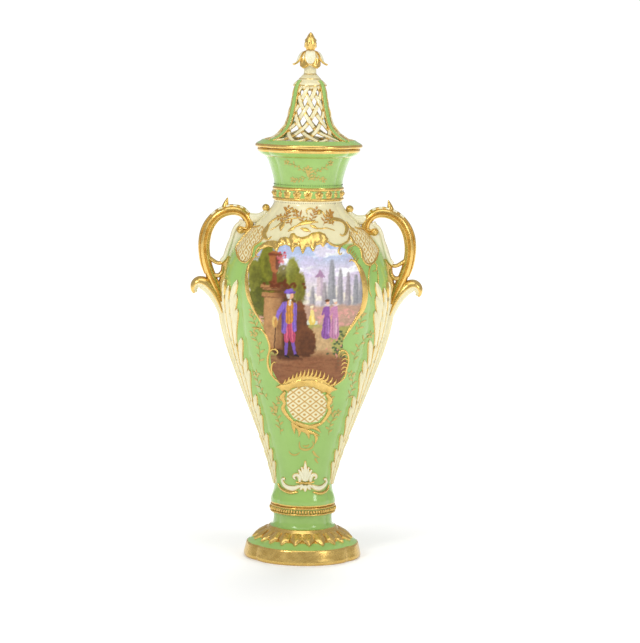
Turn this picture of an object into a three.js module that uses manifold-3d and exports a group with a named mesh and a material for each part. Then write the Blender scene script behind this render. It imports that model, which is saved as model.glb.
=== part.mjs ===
// A porcelain mantel vase with a lifting pierced cover. Millimetres, +Z up.
// The origin is at the centre of the foot's underside, and -Y is the painted front.
//
// Seen from above, every level is a round with four soft upright creases, which part a wide
// front and back lobe from two narrow side lobes. The handles and the leafy flanks sit on the
// side lobes. The vase is one hollow piece of work, given as four nodes that join at its seams:
// the body, the foot and the two handles. The cover, its straps, trellis and bud are one casting,
// which only rests on the lip.

import * as THREE from 'three';
import { mergeVertices } from 'three/addons/utils/BufferGeometryUtils.js';
import { ConvexGeometry } from 'three/addons/geometries/ConvexGeometry.js';
import Module from 'manifold-3d';

// Plan of every level
const creaseAngle = THREE.MathUtils.degToRad(55);   // from the front, round to a crease
const creaseShare = 0.04;         // depth of a crease, as a share of the radius
const creaseSharpness = 6;        // power that keeps the crease narrow
const outerFacets = { front: 8, side: 4 };     // across a wide lobe and across a narrow one
const innerFacets = { front: 4, side: 2 };     // the same, for the hollows

// Foot
const plinthRadius = 60.6;
const plinthTopRadius = 57.6;
const plinthHeight = 15;
const apronRadius = 48.6;         // where the plain slope meets the leaf band
const apronRise = 5;
const leafBandRise = 11.8;
const waistRadius = 30;           // of the hollow stretch above the leaf band
const waistHeight = 14;
const beadRingRadius = 34.4;
const beadRingHeight = 9;
const beads = 22;                 // larger and fewer than the real ring's
const footLeaves = 22;
const footLeafHeight = 2.6;

// Body
const collarRadius = 33.6;        // the rounded ring that ends the body below
const collarHeight = 23.2;
const bellyRadius = 84.6;
const bellyShare = 0.683;         // level of the widest point, as a share of the body's height
const bodyHeight = 291.5;         // from the narrowest point up to the neck band
const wall = 4.6;
const floorThickness = 8;
const flankRelief = 2.6;          // how far the flank leaflets stand up

// Neck and lip
const neckRadius = 35.3;
const bandHeight = 13.5;
const bandProud = 1.3;            // how far the band's two fillets stand out
const rosettesFront = 6;          // spaces between creases, so one rosette fewer
const rosettesSide = 4;
const neckHeight = 31;            // from the band up to the lip
const throatRadius = 44.2;        // of the neck, just under the lip
const lipRadius = 52.5;
const lipHeight = 8.7;

// Handles
const handleReach = 26.7;          // from the belly out to the far side of a loop
const handleThickness = 11.2;
const handleDepth = 14;           // front to back
const handleKnobRadius = 4.6;
const ribSeamShare = 0.56;        // where a flank's rib ends and a handle's horn begins
const seamGap = 0.3;              // between the body and its handles and foot

// Cover
const restGap = 0.3;              // between the lip and the cover's rim
const flangeClearance = 2;        // between the throat and the flange inside it
const flangeDepth = 11;
const rimOverhang = 2.3;          // the cover's rim past the lip
const coverRimRadius = lipRadius + rimOverhang;
const coverRimHeight = 7;
const coverHeight = 61.5;         // from the rim's top up to the cap
const coverWall = 3.2;
const capRadius = 11.6;
const strapWidth = 8;
const strapProud = 1.7;
const stripWidth = 3.4;           // one strip of the trellis
const trellisRows = 7;
const trellisStart = 3;           // along the bell from its foot to the first row's middle
const trellisRise = 0.1303;       // from one row to the next, as a share of the bell's length
const trellisColumns = { front: 3, side: 2 };
const stemRadius = 6.3;
const stemHeight = 13;            // from the cap up to the leaves
const knobLeafReach = 17.6;
const knobLeaves = 4;
const knobLeafDrop = 16;
const budRadius = 7.2;
const budHeight = 19.5;

// Levels, from the ground up
const apronTop = plinthHeight + apronRise;
const leafBandTop = apronTop + leafBandRise;
const waistTop = leafBandTop + waistHeight;
const ringTop = waistTop + beadRingHeight;
const bodyFoot = ringTop + collarHeight;
const bellyLevel = bodyFoot + bellyShare * bodyHeight;
const bandBottom = bodyFoot + bodyHeight;
const bandTop = bandBottom + bandHeight;
const lipBottom = bandTop + neckHeight;
const lipTop = lipBottom + lipHeight;
const rimBottom = lipTop + restGap;
const rimTop = rimBottom + coverRimHeight;
const capLevel = rimTop + coverHeight;
const leafLevel = capLevel + stemHeight;
const budLevel = leafLevel + knobLeafDrop;

const wasm = await Module();
wasm.setup();
const { Manifold } = wasm;

const bySpline = (points, steps) => new THREE.SplineCurve(
  points.map(([r, z]) => new THREE.Vector2(r, z))).getPoints(steps).map(p => [p.x, p.y]);

// Radius at a level of an outline given as [radius, level] pairs that rise.
function radiusAt(outline, level) {
  for (let i = 1; i < outline.length; i += 1) {
    const [r0, z0] = outline[i - 1];
    const [r1, z1] = outline[i];
    const share = THREE.MathUtils.clamp((level - z0) / (z1 - z0), 0, 1);
    if (level <= z1 && z1 > z0) return r0 + (r1 - r0) * share;
  }
  return outline[outline.length - 1][0];
}

// Angle of a lobe's middle and the angle from there to its creases. Angles turn from the front.
function lobeAt(angle) {
  const turned = THREE.MathUtils.euclideanModulo(angle + creaseAngle, 2 * Math.PI) - creaseAngle;
  const side = Math.PI / 2 - creaseAngle;
  if (turned <= creaseAngle) return { middle: 0, half: creaseAngle, from: turned };
  if (turned < Math.PI - creaseAngle) {
    return { middle: Math.PI / 2, half: side, from: turned - Math.PI / 2 };
  }
  if (turned <= Math.PI + creaseAngle) {
    return { middle: Math.PI, half: creaseAngle, from: turned - Math.PI };
  }
  return { middle: 1.5 * Math.PI, half: side, from: turned - 1.5 * Math.PI };
}

// The plan's radius at an angle: full across the lobe, falling by the crease's share at its ends.
function lobed(radius, angle) {
  const lobe = lobeAt(angle);
  return radius * (1 - creaseShare * Math.abs(lobe.from / lobe.half) ** creaseSharpness);
}

const onPlan = (radius, angle, level) => new THREE.Vector3(
  radius * Math.sin(angle), -radius * Math.cos(angle), level);

// The four lobes, and angles that split them into facets with a corner on every crease.
const lobes = [0, 1, 2, 3].map(quarter => ({
  middle: (quarter * Math.PI) / 2,
  half: quarter % 2 ? Math.PI / 2 - creaseAngle : creaseAngle,
  wide: quarter % 2 === 0,
}));
const facetAngles = ({ front, side }) => lobes.flatMap(({ middle, half, wide }) => {
  const facets = wide ? front : side;
  return Array.from({ length: facets }, (_, i) => middle - half + (2 * half * i) / facets);
});
const roundAngles = count => Array.from({ length: count }, (_, i) => (2 * Math.PI * i) / count);

function closedGeometry(positions, triangles) {
  const geometry = new THREE.BufferGeometry();
  geometry.setAttribute('position', new THREE.Float32BufferAttribute(positions, 3));
  geometry.setIndex(triangles);
  return geometry;
}

// Turns an outline of [radius, level] pairs into a closed solid. It starts and ends on the axis,
// or closes on itself, and runs up the outside. Its diagonals alternate.
function turned(outline, { angles = facetAngles(outerFacets), plan = lobed, closes = false } = {}) {
  const positions = [];
  const rows = outline.map(([radius, level], row) => {
    const start = positions.length / 3;
    if (radius === 0) {
      positions.push(0, 0, level);
      return { start, pole: true };
    }
    angles.forEach((angle, step) => {
      positions.push(...onPlan(plan(radius, angle, row, step), angle, level));
    });
    return { start, pole: false };
  });
  const triangles = [];
  for (let i = 0; i < rows.length - (closes ? 0 : 1); i += 1) {
    const up = rows[(i + 1) % rows.length];
    for (let j = 0; j < angles.length; j += 1) {
      const k = (j + 1) % angles.length;
      const [lowHere, lowNext, upHere, upNext] = [rows[i], up].flatMap(
        ({ start, pole }) => (pole ? [start, start] : [start + j, start + k]));
      if (rows[i].pole) triangles.push(lowHere, upNext, upHere);
      else if (up.pole) triangles.push(lowHere, lowNext, upHere);
      else if ((i + j) % 2) triangles.push(lowHere, lowNext, upNext, lowHere, upNext, upHere);
      else triangles.push(lowHere, lowNext, upHere, lowNext, upNext, upHere);
    }
  }
  return closedGeometry(positions, triangles);
}

// Sweeps a rounded section along a smooth path in an upright plane through the axis.
// A station is [radius, level, half thickness in the plane, half depth across it].
function swept(stations, { steps, angle, sides = 6 }) {
  const curve = pairs => new THREE.CatmullRomCurve3(pairs.map(([a, b]) => new THREE.Vector3(a, b, 0)));
  const path = curve(stations.map(([radius, level]) => [radius, level]));
  const size = curve(stations.map(([, , half, deep]) => [half, deep]));
  const across = new THREE.Vector3(Math.cos(angle), Math.sin(angle), 0);
  const spread = 1 / Math.cos(Math.PI / sides);
  const positions = [];
  for (let i = 0; i <= steps; i += 1) {
    const t = i / steps;
    const at = path.getPoint(t);
    const along = path.getTangent(t);
    const { x: half, y: deep } = size.getPoint(t);
    for (let s = 0; s < sides; s += 1) {
      const turn = (2 * Math.PI * (s + 0.5)) / sides;
      const inPlane = half * spread * Math.cos(turn);
      const point = onPlan(at.x - along.y * inPlane, angle, at.y + along.x * inPlane);
      positions.push(...point.addScaledVector(across, deep * spread * Math.sin(turn)));
    }
  }
  const triangles = [];
  for (let i = 0; i < steps; i += 1) {
    for (let s = 0; s < sides; s += 1) {
      const a = i * sides + s;
      const b = i * sides + ((s + 1) % sides);
      triangles.push(a, b, b + sides, a, b + sides, a + sides);
    }
  }
  for (let s = 1; s < sides - 1; s += 1) {
    const end = steps * sides;
    triangles.push(0, s + 1, s, end, end + s, end + s + 1);
  }
  return closedGeometry(positions, triangles);
}

function solid(geometry) {
  const bare = geometry.clone();
  bare.deleteAttribute('normal');
  bare.deleteAttribute('uv');
  const merged = mergeVertices(bare, 1e-4);
  const made = new Manifold(new wasm.Mesh({
    numProp: 3,
    vertProperties: new Float32Array(merged.attributes.position.array),
    triVerts: new Uint32Array(merged.index.array),
  }));
  return made.volume() < 0 ? flipped(merged) : made;
}

function flipped(geometry) {
  const turnedOut = [];
  const { array } = geometry.index;
  for (let i = 0; i < array.length; i += 3) turnedOut.push(array[i], array[i + 2], array[i + 1]);
  return new Manifold(new wasm.Mesh({
    numProp: 3,
    vertProperties: new Float32Array(geometry.attributes.position.array),
    triVerts: new Uint32Array(turnedOut),
  }));
}

const joined = geometries => geometries.map(solid).reduce((whole, piece) => whole.add(piece));

function mesh(name, made, material) {
  const { vertProperties, triVerts } = made.getMesh();
  const geometry = closedGeometry(Array.from(vertProperties), Array.from(triVerts));
  const part = new THREE.Mesh(geometry, material);
  part.name = name;
  return part;
}

// A raised leaf on a turned surface, from its root to its tip, each an [angle, level] pair.
// It is widest and its ridge is highest at two thirds of its length.
function leaf(outline, root, tip, halfWidth, height, sink = 1) {
  const place = (share, sideways, lift) => {
    const level = root[1] + (tip[1] - root[1]) * share;
    const radius = radiusAt(outline, level);
    const angle = root[0] + (tip[0] - root[0]) * share + sideways / radius;
    return onPlan(lobed(radius, angle) + lift, angle, level);
  };
  return new ConvexGeometry([place(0, 0, -sink), place(0.62, -halfWidth, -sink),
    place(0.62, halfWidth, -sink), place(1, 0, -sink), place(0.6, 0, height), place(1, 0, height * 0.4)]);
}

// Outline of the body from its narrowest point up to the neck band, as shares of its own
// width and height.
const bodyShares = [[0.353, 0], [0.38, 0.04], [0.4515, 0.11], [0.603, 0.233], [0.77, 0.377], [0.9, 0.5],
  [0.974, 0.6], [1, bellyShare], [0.973, 0.762], [0.875, 0.83], [0.709, 0.892], [0.52, 0.946],
  [0.424, 0.982], [0.416, 1]];
const bodyOutline = bySpline(
  bodyShares.map(([r, z]) => [r * bellyRadius, bodyFoot + z * bodyHeight]), 13);

const waistOutline = [[waistRadius + 1, leafBandTop + 0.6], [waistRadius, waistTop - 3]];

const ringOutline = [[beadRingRadius - 0.7, waistTop + seamGap], [beadRingRadius - 0.7, ringTop - 2],
  [beadRingRadius - 2.4, ringTop - 0.4]];

const collarOutline = [[collarRadius - 0.2, ringTop + collarHeight * 0.07],
  [collarRadius - 0.5, ringTop + collarHeight * 0.28], [waistRadius + 0.9, ringTop + collarHeight * 0.56]];

const bandOutline = [[neckRadius + bandProud, bandBottom + 1.6], [neckRadius + 0.3, bandBottom + 3],
  [neckRadius + 0.3, bandTop - 2.8], [neckRadius + bandProud, bandTop - 1.4]];

const neckOutline = bySpline([[neckRadius, bandTop + 0.5], [neckRadius + 0.1, bandTop + neckHeight * 0.2],
  [neckRadius + 2.4, bandTop + neckHeight * 0.5], [neckRadius + 5.3, bandTop + neckHeight * 0.78],
  [throatRadius, lipBottom]], 4);

const lipOutline = [[lipRadius - 5.6, lipBottom + 1], [lipRadius - 2, lipBottom + 3.4],
  [lipRadius, lipTop - 1.6], [lipRadius - 1.1, lipTop]];

const throatInner = throatRadius - wall;
const hollowFloor = bodyFoot + floorThickness;

// The hollow, a wall's thickness inside the outline, from the floor up past the lip.
function hollowOutline() {
  const outer = [...bodyOutline.filter((_, i) => i % 2), [neckRadius, bandTop],
    ...neckOutline.slice(2, 4)];
  const inner = outer.slice(1, -1).map(([r, z], i) => {
    const [before, after] = [outer[i], outer[i + 2]];
    const along = new THREE.Vector2(after[0] - before[0], after[1] - before[1]).normalize();
    return [r - along.y * wall, z + along.x * wall];
  });
  return [[0, hollowFloor], [waistRadius - wall, hollowFloor],
    ...inner.filter(([, z]) => z > hollowFloor + 4), [throatInner, lipBottom - 2],
    [throatInner + 1.2, lipTop + 1], [0, lipTop + 1]];
}

// The hollow of the foot, open below.
const footHollowOutline = () => [[0, -1], [plinthRadius - wall - 1, -1],
  [plinthTopRadius - wall, plinthHeight - 5], [apronRadius - wall, apronTop - 4],
  [waistRadius - wall, leafBandTop], [waistRadius - wall - 1, waistTop + 1], [0, waistTop + 1]];

// Outlines of the foot, from the ground up to the seam, and of the body, from there to the lip.
const footOutside = () => [[0, 0], [plinthRadius - 1.2, 0], [plinthRadius, 2.6],
  [plinthTopRadius, plinthHeight], [apronRadius, apronTop], [waistRadius + 4, leafBandTop - 1],
  ...waistOutline, [waistRadius + 0.9, waistTop], [0, waistTop]];
const bodyOutside = () => [[0, waistTop + seamGap], ...ringOutline, ...collarOutline, ...bodyOutline,
  ...bandOutline, ...neckOutline, ...lipOutline, [0, lipTop]];

// Beads of the foot's ring: low pyramids with soft corners that press out of it.
const beadSolids = () => roundAngles(beads).map(angle => {
  const middle = waistTop + beadRingHeight * 0.44;
  const radius = lobed(beadRingRadius, angle);
  const half = (0.84 * Math.PI * beadRingRadius) / beads;
  const corners = [[0, -2.6], [-half, 0], [half, 0], [0, 2.6]].map(
    ([side, up]) => onPlan(radius - 1.6, angle + side / radius, middle + up));
  return new ConvexGeometry([...corners, onPlan(radius + 1, angle, middle)]);
});

// Leaf band of the foot: a fluted skirt whose ridges end in points over the slope.
const leafTips = footLeaves * 2;
const skirtOutline = [[waistRadius - 4, leafBandTop], [waistRadius - 4, apronTop - 4],
  [apronRadius - 4, apronTop - 1.5], [apronRadius - 0.8, apronTop + 0.8],
  [waistRadius + 5.3, leafBandTop]];
const skirtSwell = [[0, 0], [0, 0], [-2, 0], [-3, footLeafHeight], [0, 0]];
const skirtGeometry = () => turned(skirtOutline, {
  angles: roundAngles(leafTips),
  plan: (radius, angle, row, step) => lobed(radius, angle) + skirtSwell[row][step % 2],
  closes: true,
});

// Leafy flanks: leaflets on both edges of each flank, getting smaller downwards. Each is
// [level of the tip as a share of the body's height, length, half width].
const flankLeaflets = [[0.735, 42, 5.6], [0.625, 42, 5.2], [0.515, 40, 4.8], [0.41, 36, 4.4],
  [0.29, 32, 3.6], [0.17, 28, 2.7]];
function flankSolids() {
  const made = [];
  for (const flank of flanks) {
    for (const edge of [-1, 1]) {
      for (const [share, length, halfWidth] of flankLeaflets) {
        const tip = bodyFoot + share * bodyHeight;
        const root = Math.max(tip - length, bodyFoot + 2);
        const tipAngle = flank + edge * (Math.PI / 2 - creaseAngle) * 0.98;
        const rootAngle = flank + edge * (Math.PI / 2 - creaseAngle) * 0.42;
        made.push(leaf(bodyOutline, [rootAngle, root], [tipAngle, tip], halfWidth, flankRelief, 1.5));
      }
    }
  }
  return made;
}

// Palmette and two scroll arms low on the front and the back. Petals are
// [turn of the root, turn of the tip, root level, tip level, half width], in degrees and millimetres.
const palmetteDrop = 7;           // levels below count up from so far under the body's foot
const palmettePetals = [[0, 0, 14, 37, 2.6], [-5, -17, 13, 29, 2.2], [5, 17, 13, 29, 2.2],
  [-7, -24, 11, 19, 2.2], [7, 24, 11, 19, 2.2], [0, 0, 12, 3, 2.4], [-13, -38, 5, 14, 2.2],
  [13, 38, 5, 14, 2.2]];
const palmetteSolids = () => [0, Math.PI].flatMap(facing => palmettePetals.slice(0, facing ? 3 : 8).map(
  ([from, to, low, high, halfWidth]) => leaf([...collarOutline, ...bodyOutline],
    [facing + THREE.MathUtils.degToRad(from), bodyFoot + low - palmetteDrop],
    [facing + THREE.MathUtils.degToRad(to), bodyFoot + high - palmetteDrop], halfWidth, 2)));

function rosetteSolids() {
  const middle = (bandBottom + bandTop) / 2;
  const made = [];
  for (const lobe of lobes) {
    const spaces = lobe.wide ? rosettesFront : rosettesSide;
    for (let i = 1; i < spaces; i += 1) {
      const angle = lobe.middle - lobe.half + (2 * lobe.half * i) / spaces;
      const radius = lobed(neckRadius + 0.3, angle);
      const corners = [[-3, 0], [3, 0], [0, -3.4], [0, 3.4]].map(
        ([side, up]) => onPlan(radius - 0.8, angle + side / radius, middle + up));
      made.push(new ConvexGeometry([...corners, onPlan(radius + 1.4, angle, middle)]));
    }
  }
  return made;
}

// Each flank's rib, which runs up into the horn and, above it, to the handle's inner scroll:
// [share of the body's height, how far its face stands off the body, half depth].
const lowerRib = [[0.005, 0, 2.5], [0.11, 1.6, 3.5], [0.24, 3.9, 4.6], [0.37, 6, 5.6], [0.47, 7.6, 6.2]];
const upperRib = [[0.53, 3, 5], [0.63, 6, 6], [0.7, 7.6, 6.4], [0.8, 6.4, 5.6], [0.85, 8.2, 5],
  [0.885, 10, 4.4]];

// The handles' sweeps. A station is [beyond the belly, above the belly's widest level, half
// thickness, half depth]. They are shares: the first of the reach, or of the belly's radius where
// it is negative, the second of the body's height, and the others of the handle's own.
const handleSweeps = [
  { name: 'loop', steps: 13, sides: 8, stations: [[-0.1939, 0.2069, 0.3, 0.38],
    [-0.279, 0.2096, 0.38, 0.43], [-0.2943, 0.2305, 0.43, 0.46], [-0.2612, 0.2518, 0.45, 0.5],
    [-0.2009, 0.2686, 0.46, 0.5], [-0.1158, 0.2768, 0.48, 0.5], [-0.0189, 0.2738, 0.5, 0.5],
    [0.2397, 0.2607, 0.51, 0.5], [0.4981, 0.2377, 0.52, 0.5], [0.6816, 0.2058, 0.52, 0.5],
    [0.7753, 0.1671, 0.52, 0.5], [0.7828, 0.1317, 0.51, 0.5], [0.7154, 0.093, 0.5, 0.5],
    [0.5918, 0.0576, 0.5, 0.5], [0.4195, 0.0223, 0.49, 0.5], [0.2584, -0.0113, 0.44, 0.5],
    [0.1236, -0.0453, 0.34, 0.46]] },
  { name: 'strut', steps: 3, sides: 4, stations: [[-0.0355, 0.1132, 0.26, 0.36],
    [0.1011, 0.0906, 0.21, 0.36], [0.3034, 0.0906, 0.2, 0.36], [0.5993, 0.1084, 0.2, 0.36]] },
  { name: 'small scroll', steps: 3, sides: 4, stations: [[0.0749, 0.0669, 0.2, 0.36],
    [0.1498, 0.046, 0.22, 0.38], [0.3371, 0.0432, 0.22, 0.38], [0.5618, 0.0686, 0.18, 0.36]] },
  { name: 'neck scroll', steps: 5, sides: 6, stations: [[-0.2246, 0.2436, 0.46, 0.42],
    [-0.2837, 0.2463, 0.56, 0.4], [-0.3582, 0.2494, 0.54, 0.38], [-0.4303, 0.2552, 0.32, 0.36],
    [-0.4894, 0.2676, 0.24, 0.33], [-0.5035, 0.2861, 0.33, 0.32]] },
  { name: 'thorn', steps: 2, sides: 4, stations: [[-0.0071, 0.2779, 0.5, 0.32],
    [-0.0189, 0.2971, 0.24, 0.2], [-0.0284, 0.3204, 0.06, 0.06]] },
];
// The horn that carries the lower rib on and curls over, in the same terms.
const hornStations = [[0, -0.1235, 0.4, 0.5], [0.2809, -0.0583, 0.5, 0.58],
    [0.5618, -0.0137, 0.6, 0.62], [0.7865, 0.0103, 0.66, 0.62], [0.9888, 0.0192, 0.56, 0.6],
    [1.1311, 0.0117, 0.42, 0.56], [1.1386, -0.0048, 0.34, 0.5]];
const ribSink = 2.4;              // how far a rib reaches into the wall

function placed([out, up, half, deep]) {
  return [bellyRadius + out * (out < 0 ? bellyRadius : handleReach), bellyLevel + up * bodyHeight,
    half * handleThickness, deep * handleDepth];
}

function ribStation([share, proud, deep]) {
  const level = bodyFoot + share * bodyHeight;
  const half = (proud + ribSink) / 2;
  return [radiusAt(bodyOutline, level) + proud - half, level, half, deep];
}

const ribSeam = bodyFoot + ribSeamShare * bodyHeight;
const upwards = [0, 0, 1];
const ribAndHorn = angle => solid(
  swept([...lowerRib.map(ribStation), ...hornStations.map(placed)], { steps: 10, angle }));

// A handle is joined from its sweeps, and cut back to a seam round the body and one on the rib.
function handleSolid(angle) {
  const sweeps = handleSweeps.map(
    ({ stations, steps, sides }) => swept(stations.map(placed), { steps, angle, sides }));
  sweeps.push(swept(upperRib.map(ribStation), { steps: 4, angle, sides: 4 }));
  const knob = new THREE.SphereGeometry(1, 6, 4);
  knob.scale(handleKnobRadius, handleDepth * 0.54, handleKnobRadius).rotateZ(angle - Math.PI / 2);
  const [radius, level] = placed(handleSweeps[0].stations[0]);
  const at = onPlan(radius, angle, level);
  const whole = joined([...sweeps, knob.translate(at.x, at.y, at.z)]).add(ribAndHorn(angle));
  const seam = bodyOutline.map(([r, z]) => [r + seamGap * 1.4, z]);
  const inside = turned([[0, bodyFoot], ...seam, [0, bandBottom]]);
  return whole.trimByPlane(upwards, ribSeam + seamGap).subtract(solid(inside));
}

const glaze = new THREE.MeshStandardMaterial({ color: '#9ccf76', roughness: 0.16, metalness: 0 });
const creamGlaze = new THREE.MeshStandardMaterial({ color: '#efe6c0', roughness: 0.18, metalness: 0 });

// The hollows are cut after the carving is joined, so that nothing pokes through the wall.
const hollow = outline => solid(turned(outline, { angles: facetAngles(innerFacets) }));
const flanks = [Math.PI / 2, 1.5 * Math.PI];
const carving = joined([turned(bodyOutside()), ...beadSolids(), ...flankSolids(), ...palmetteSolids(),
  ...rosetteSolids()]);
const downwards = upwards.map(part => -part);
const ribbed = flanks.map(angle => ribAndHorn(angle).trimByPlane(downwards, -ribSeam)).reduce(
  (whole, rib) => whole.add(rib), carving);
const vase = ribbed.subtract(hollow(hollowOutline()));
const foot = joined([turned(footOutside()), skirtGeometry()]).subtract(hollow(footHollowOutline()));

// Cover: a bell that falls steeply from the cap and sweeps out to the rim, as shares of the
// rim's radius and the cover's height.
const bellShares = [[0.876, 0], [0.69, 0.065], [0.53, 0.18], [0.45, 0.3], [0.395, 0.46], [0.352, 0.62],
  [0.315, 0.8], [0.27, 0.93], [0.2, 1]];
const bellCurve = new THREE.SplineCurve(bellShares.map(
  ([r, z]) => new THREE.Vector2(r * coverRimRadius, rimTop + z * coverHeight)));
const bellLength = bellCurve.getLength();

// Point at a distance up the bell, moved out along the bell's normal.
function bellPoint(distance, lift = 0) {
  const share = distance / bellLength;
  const at = bellCurve.getPointAt(share);
  const along = bellCurve.getTangentAt(share);
  return [at.x + along.y * lift, at.y - along.x * lift];
}

// Corners of the cover's rows. Each window between two straps has evenly spread corners, and
// each strap has two raised ones. The window's width follows from the row's radius.
const corners = lobes.flatMap(lobe => {
  const columns = lobe.wide ? trellisColumns.front : trellisColumns.side;
  const inWindow = Array.from({ length: 2 * columns + 1 }, (_, i) => (
    { lobe, window: true, share: i / columns - 1, step: i - columns }));
  return [{ lobe, share: -1 }, ...inWindow, { lobe, share: 1 }];
});

function cornerAt({ lobe, window, share }, [radius, level], across = radius) {
  const strap = (window ? strapWidth : strapWidth - 2.4) / 2;
  const angle = lobe.middle + share * (lobe.half - strap / across);
  return onPlan(lobed(radius, angle), angle, level);
}

// Rows of the pierced wall: the bell's foot, the rows of the trellis, and the cap's edge.
const rowRise = trellisRise * bellLength;
const shellLevels = [0,
  ...Array.from({ length: trellisRows }, (_, row) => trellisStart + row * rowRise),
  bellLength * 0.93];
const lastRow = shellLevels.length - 1;
const isLattice = ([row, column]) => row > 0 && row < lastRow && corners[column].window === true;
const isHole = place => isLattice(place) && (place[0] - 1 + corners[place[1]].step) % 2 === 0;

// A place is a corner, or a point on the way from a hole's middle to the next corner.
function shellPoint([row, column, toRow, toColumn], back) {
  const lift = back ? -coverWall : strapProud * (corners[column].window ? 0 : 1);
  const distance = shellLevels[row];
  const at = cornerAt(corners[column], bellPoint(distance, lift), bellPoint(distance)[0]);
  if (toRow === undefined) return at;
  const across = bellPoint(distance)[0] * (lobes[0].half / trellisColumns.front);
  const share = 1 - (stripWidth * Math.hypot(across, rowRise)) / (2 * across * rowRise);
  return at.lerp(shellPoint([toRow, toColumn], back), share);
}

// Outline of one cell of the wall. Where a corner is the middle of a hole, a cell of the
// trellis has that corner cut off.
function cellOutline(row, column) {
  const next = (column + 1) % corners.length;
  const walk = [[row, column], [row, next], [row + 1, next], [row + 1, column]];
  const open = walk.every(isLattice);
  const apex = Math.max(walk.findIndex(place => (open ? !isHole(place) : !isLattice(place))), 0);
  return [0, 1, 2, 3].flatMap(turn => {
    const i = (apex + turn) % 4;
    const [here, before, after] = [walk[i], walk[(i + 3) % 4], walk[(i + 1) % 4]];
    if (!isHole(here)) return [here];
    const cuts = [before, after].map(place => (isLattice(place) ? [[...here, ...place]] : []));
    return [...cuts[0], ...(open ? [] : [here]), ...cuts[1]];
  });
}

// The pierced wall with the straps, closed below by the rim and its flange, and above by the cap.
function bellGeometry() {
  const positions = [];
  const triangle = (...points) => points.forEach(({ x, y, z }) => positions.push(x, y, z));
  const edges = new Map();
  for (let row = 0; row < lastRow; row += 1) {
    corners.forEach((_, column) => {
      const outline = cellOutline(row, column);
      outline.forEach((place, i) => {
        const next = outline[(i + 1) % outline.length];
        edges.set(`${place} to ${next}`, [place, next]);
        if (i < 1 || i > outline.length - 2) return;
        triangle(...[outline[0], place, next].map(at => shellPoint(at, false)));
        triangle(...[outline[0], next, place].map(at => shellPoint(at, true)));
      });
    });
  }
  // Edges that only one cell uses are a hole's, except on the first and the last row.
  edges.forEach(([from, to]) => {
    const outermost = from[0] === to[0] && (from[0] === 0 || from[0] === lastRow);
    if (outermost || edges.has(`${to} to ${from}`)) return;
    const [a, b] = [from, to].map(at => shellPoint(at, false));
    const [c, d] = [to, from].map(at => shellPoint(at, true));
    triangle(b, a, d);
    triangle(b, d, c);
  });
  const ring = point => corners.map(corner => cornerAt(corner, point, Math.max(point[0], capRadius + 6)));
  const shellRing = (row, back) => corners.map((_, column) => shellPoint([row, column], back));
  const skin = rings => rings.slice(1).forEach((upper, i) => upper.forEach((_, j) => {
    const k = (j + 1) % upper.length;
    triangle(rings[i][j], rings[i][k], upper[k]);
    triangle(rings[i][j], upper[k], upper[j]);
  }));
  const flange = throatInner - flangeClearance;
  skin([shellRing(0, true), ...[[flange - 3, rimBottom - flangeDepth], [flange, rimBottom - flangeDepth],
    [flange + 1, rimBottom], [coverRimRadius - 1.2, rimBottom], [coverRimRadius, rimBottom + 1.8],
    [coverRimRadius - 1.7, rimBottom + 4.6]].map(ring), shellRing(0, false)]);
  const capRing = ring([capRadius, capLevel]);
  skin([shellRing(lastRow, false), capRing]);
  const top = new THREE.Vector3(0, 0, capLevel);
  const under = new THREE.Vector3(0, 0, capLevel - coverWall - 4);
  const underRing = shellRing(lastRow, true);
  corners.forEach((_, j) => {
    const k = (j + 1) % corners.length;
    triangle(capRing[j], capRing[k], top);
    triangle(underRing[k], underRing[j], under);
  });
  const geometry = new THREE.BufferGeometry();
  geometry.setAttribute('position', new THREE.Float32BufferAttribute(positions, 3));
  return geometry;
}

// Drooping leaves round the knob: a skirt whose ridges end in long points, with short ones
// between them.
const knobSkirt = [[stemRadius - 2.4, leafLevel + 5], [stemRadius + 1, leafLevel + 2.6],
  [stemRadius + 3.2, leafLevel + 1.6], [stemRadius + 3.6, leafLevel + knobLeafDrop * 0.5],
  [stemRadius + 1.2, leafLevel + knobLeafDrop * 0.84], [stemRadius - 2.4, budLevel]];
const knobSwell = [[0, 0, 0], [2, -0.6, -0.6], [knobLeafReach - stemRadius - 3.2, -1.6, 0.9],
  [3.2, -0.4, -0.6],
  [1.6, 0, 0.4], [0, 0, 0]];
const knobSkirtGeometry = () => turned(knobSkirt, {
  angles: roundAngles(4 * knobLeaves),
  plan: (radius, angle, row, step) => radius + knobSwell[row][[0, 1, 2, 1][step % 4]],
  closes: true,
});

// The stem and the bud, with rows of overlapping scales made by swelling every second corner.
function knobGeometry() {
  const stem = [[stemRadius + 4, capLevel - 2], [stemRadius + 0.2, capLevel + 6], [stemRadius, leafLevel],
    [stemRadius - 1.6, budLevel - 0.8]];
  const scales = [[0.78, 0.1], [0.97, 0.25], [1, 0.4], [0.86, 0.55], [0.62, 0.7], [0.38, 0.86]];
  const outline = [[0, capLevel - 2], ...stem,
    ...scales.map(([r, z]) => [r * budRadius, budLevel + z * budHeight]), [0, budLevel + budHeight]];
  const scaly = (radius, angle, row, step) => (
    row > stem.length ? radius * (1 + ((row + step) % 2 ? -0.05 : 0.05)) : radius);
  return turned(outline, { angles: roundAngles(10), plan: scaly });
}

const cover = joined([bellGeometry(), knobSkirtGeometry(), knobGeometry()]);

const group = new THREE.Group();
group.add(mesh('vase', vase, glaze));
group.add(mesh('foot', foot, glaze));
group.add(mesh('handle_right', handleSolid(flanks[0]), glaze));
group.add(mesh('handle_left', handleSolid(flanks[1]), glaze));
group.add(mesh('cover', cover, creamGlaze));

export default group;
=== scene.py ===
"""Looks of a porcelain mantel vase with two scrolled handles and a pierced lifting cover.

Lengths are millimetres until a mesh is made. +Z is up, -Y is the painted front, and an angle
turns from the front towards +X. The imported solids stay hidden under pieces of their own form.
"""

import logging
import math
from collections.abc import Callable
from dataclasses import dataclass
from enum import Enum

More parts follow.
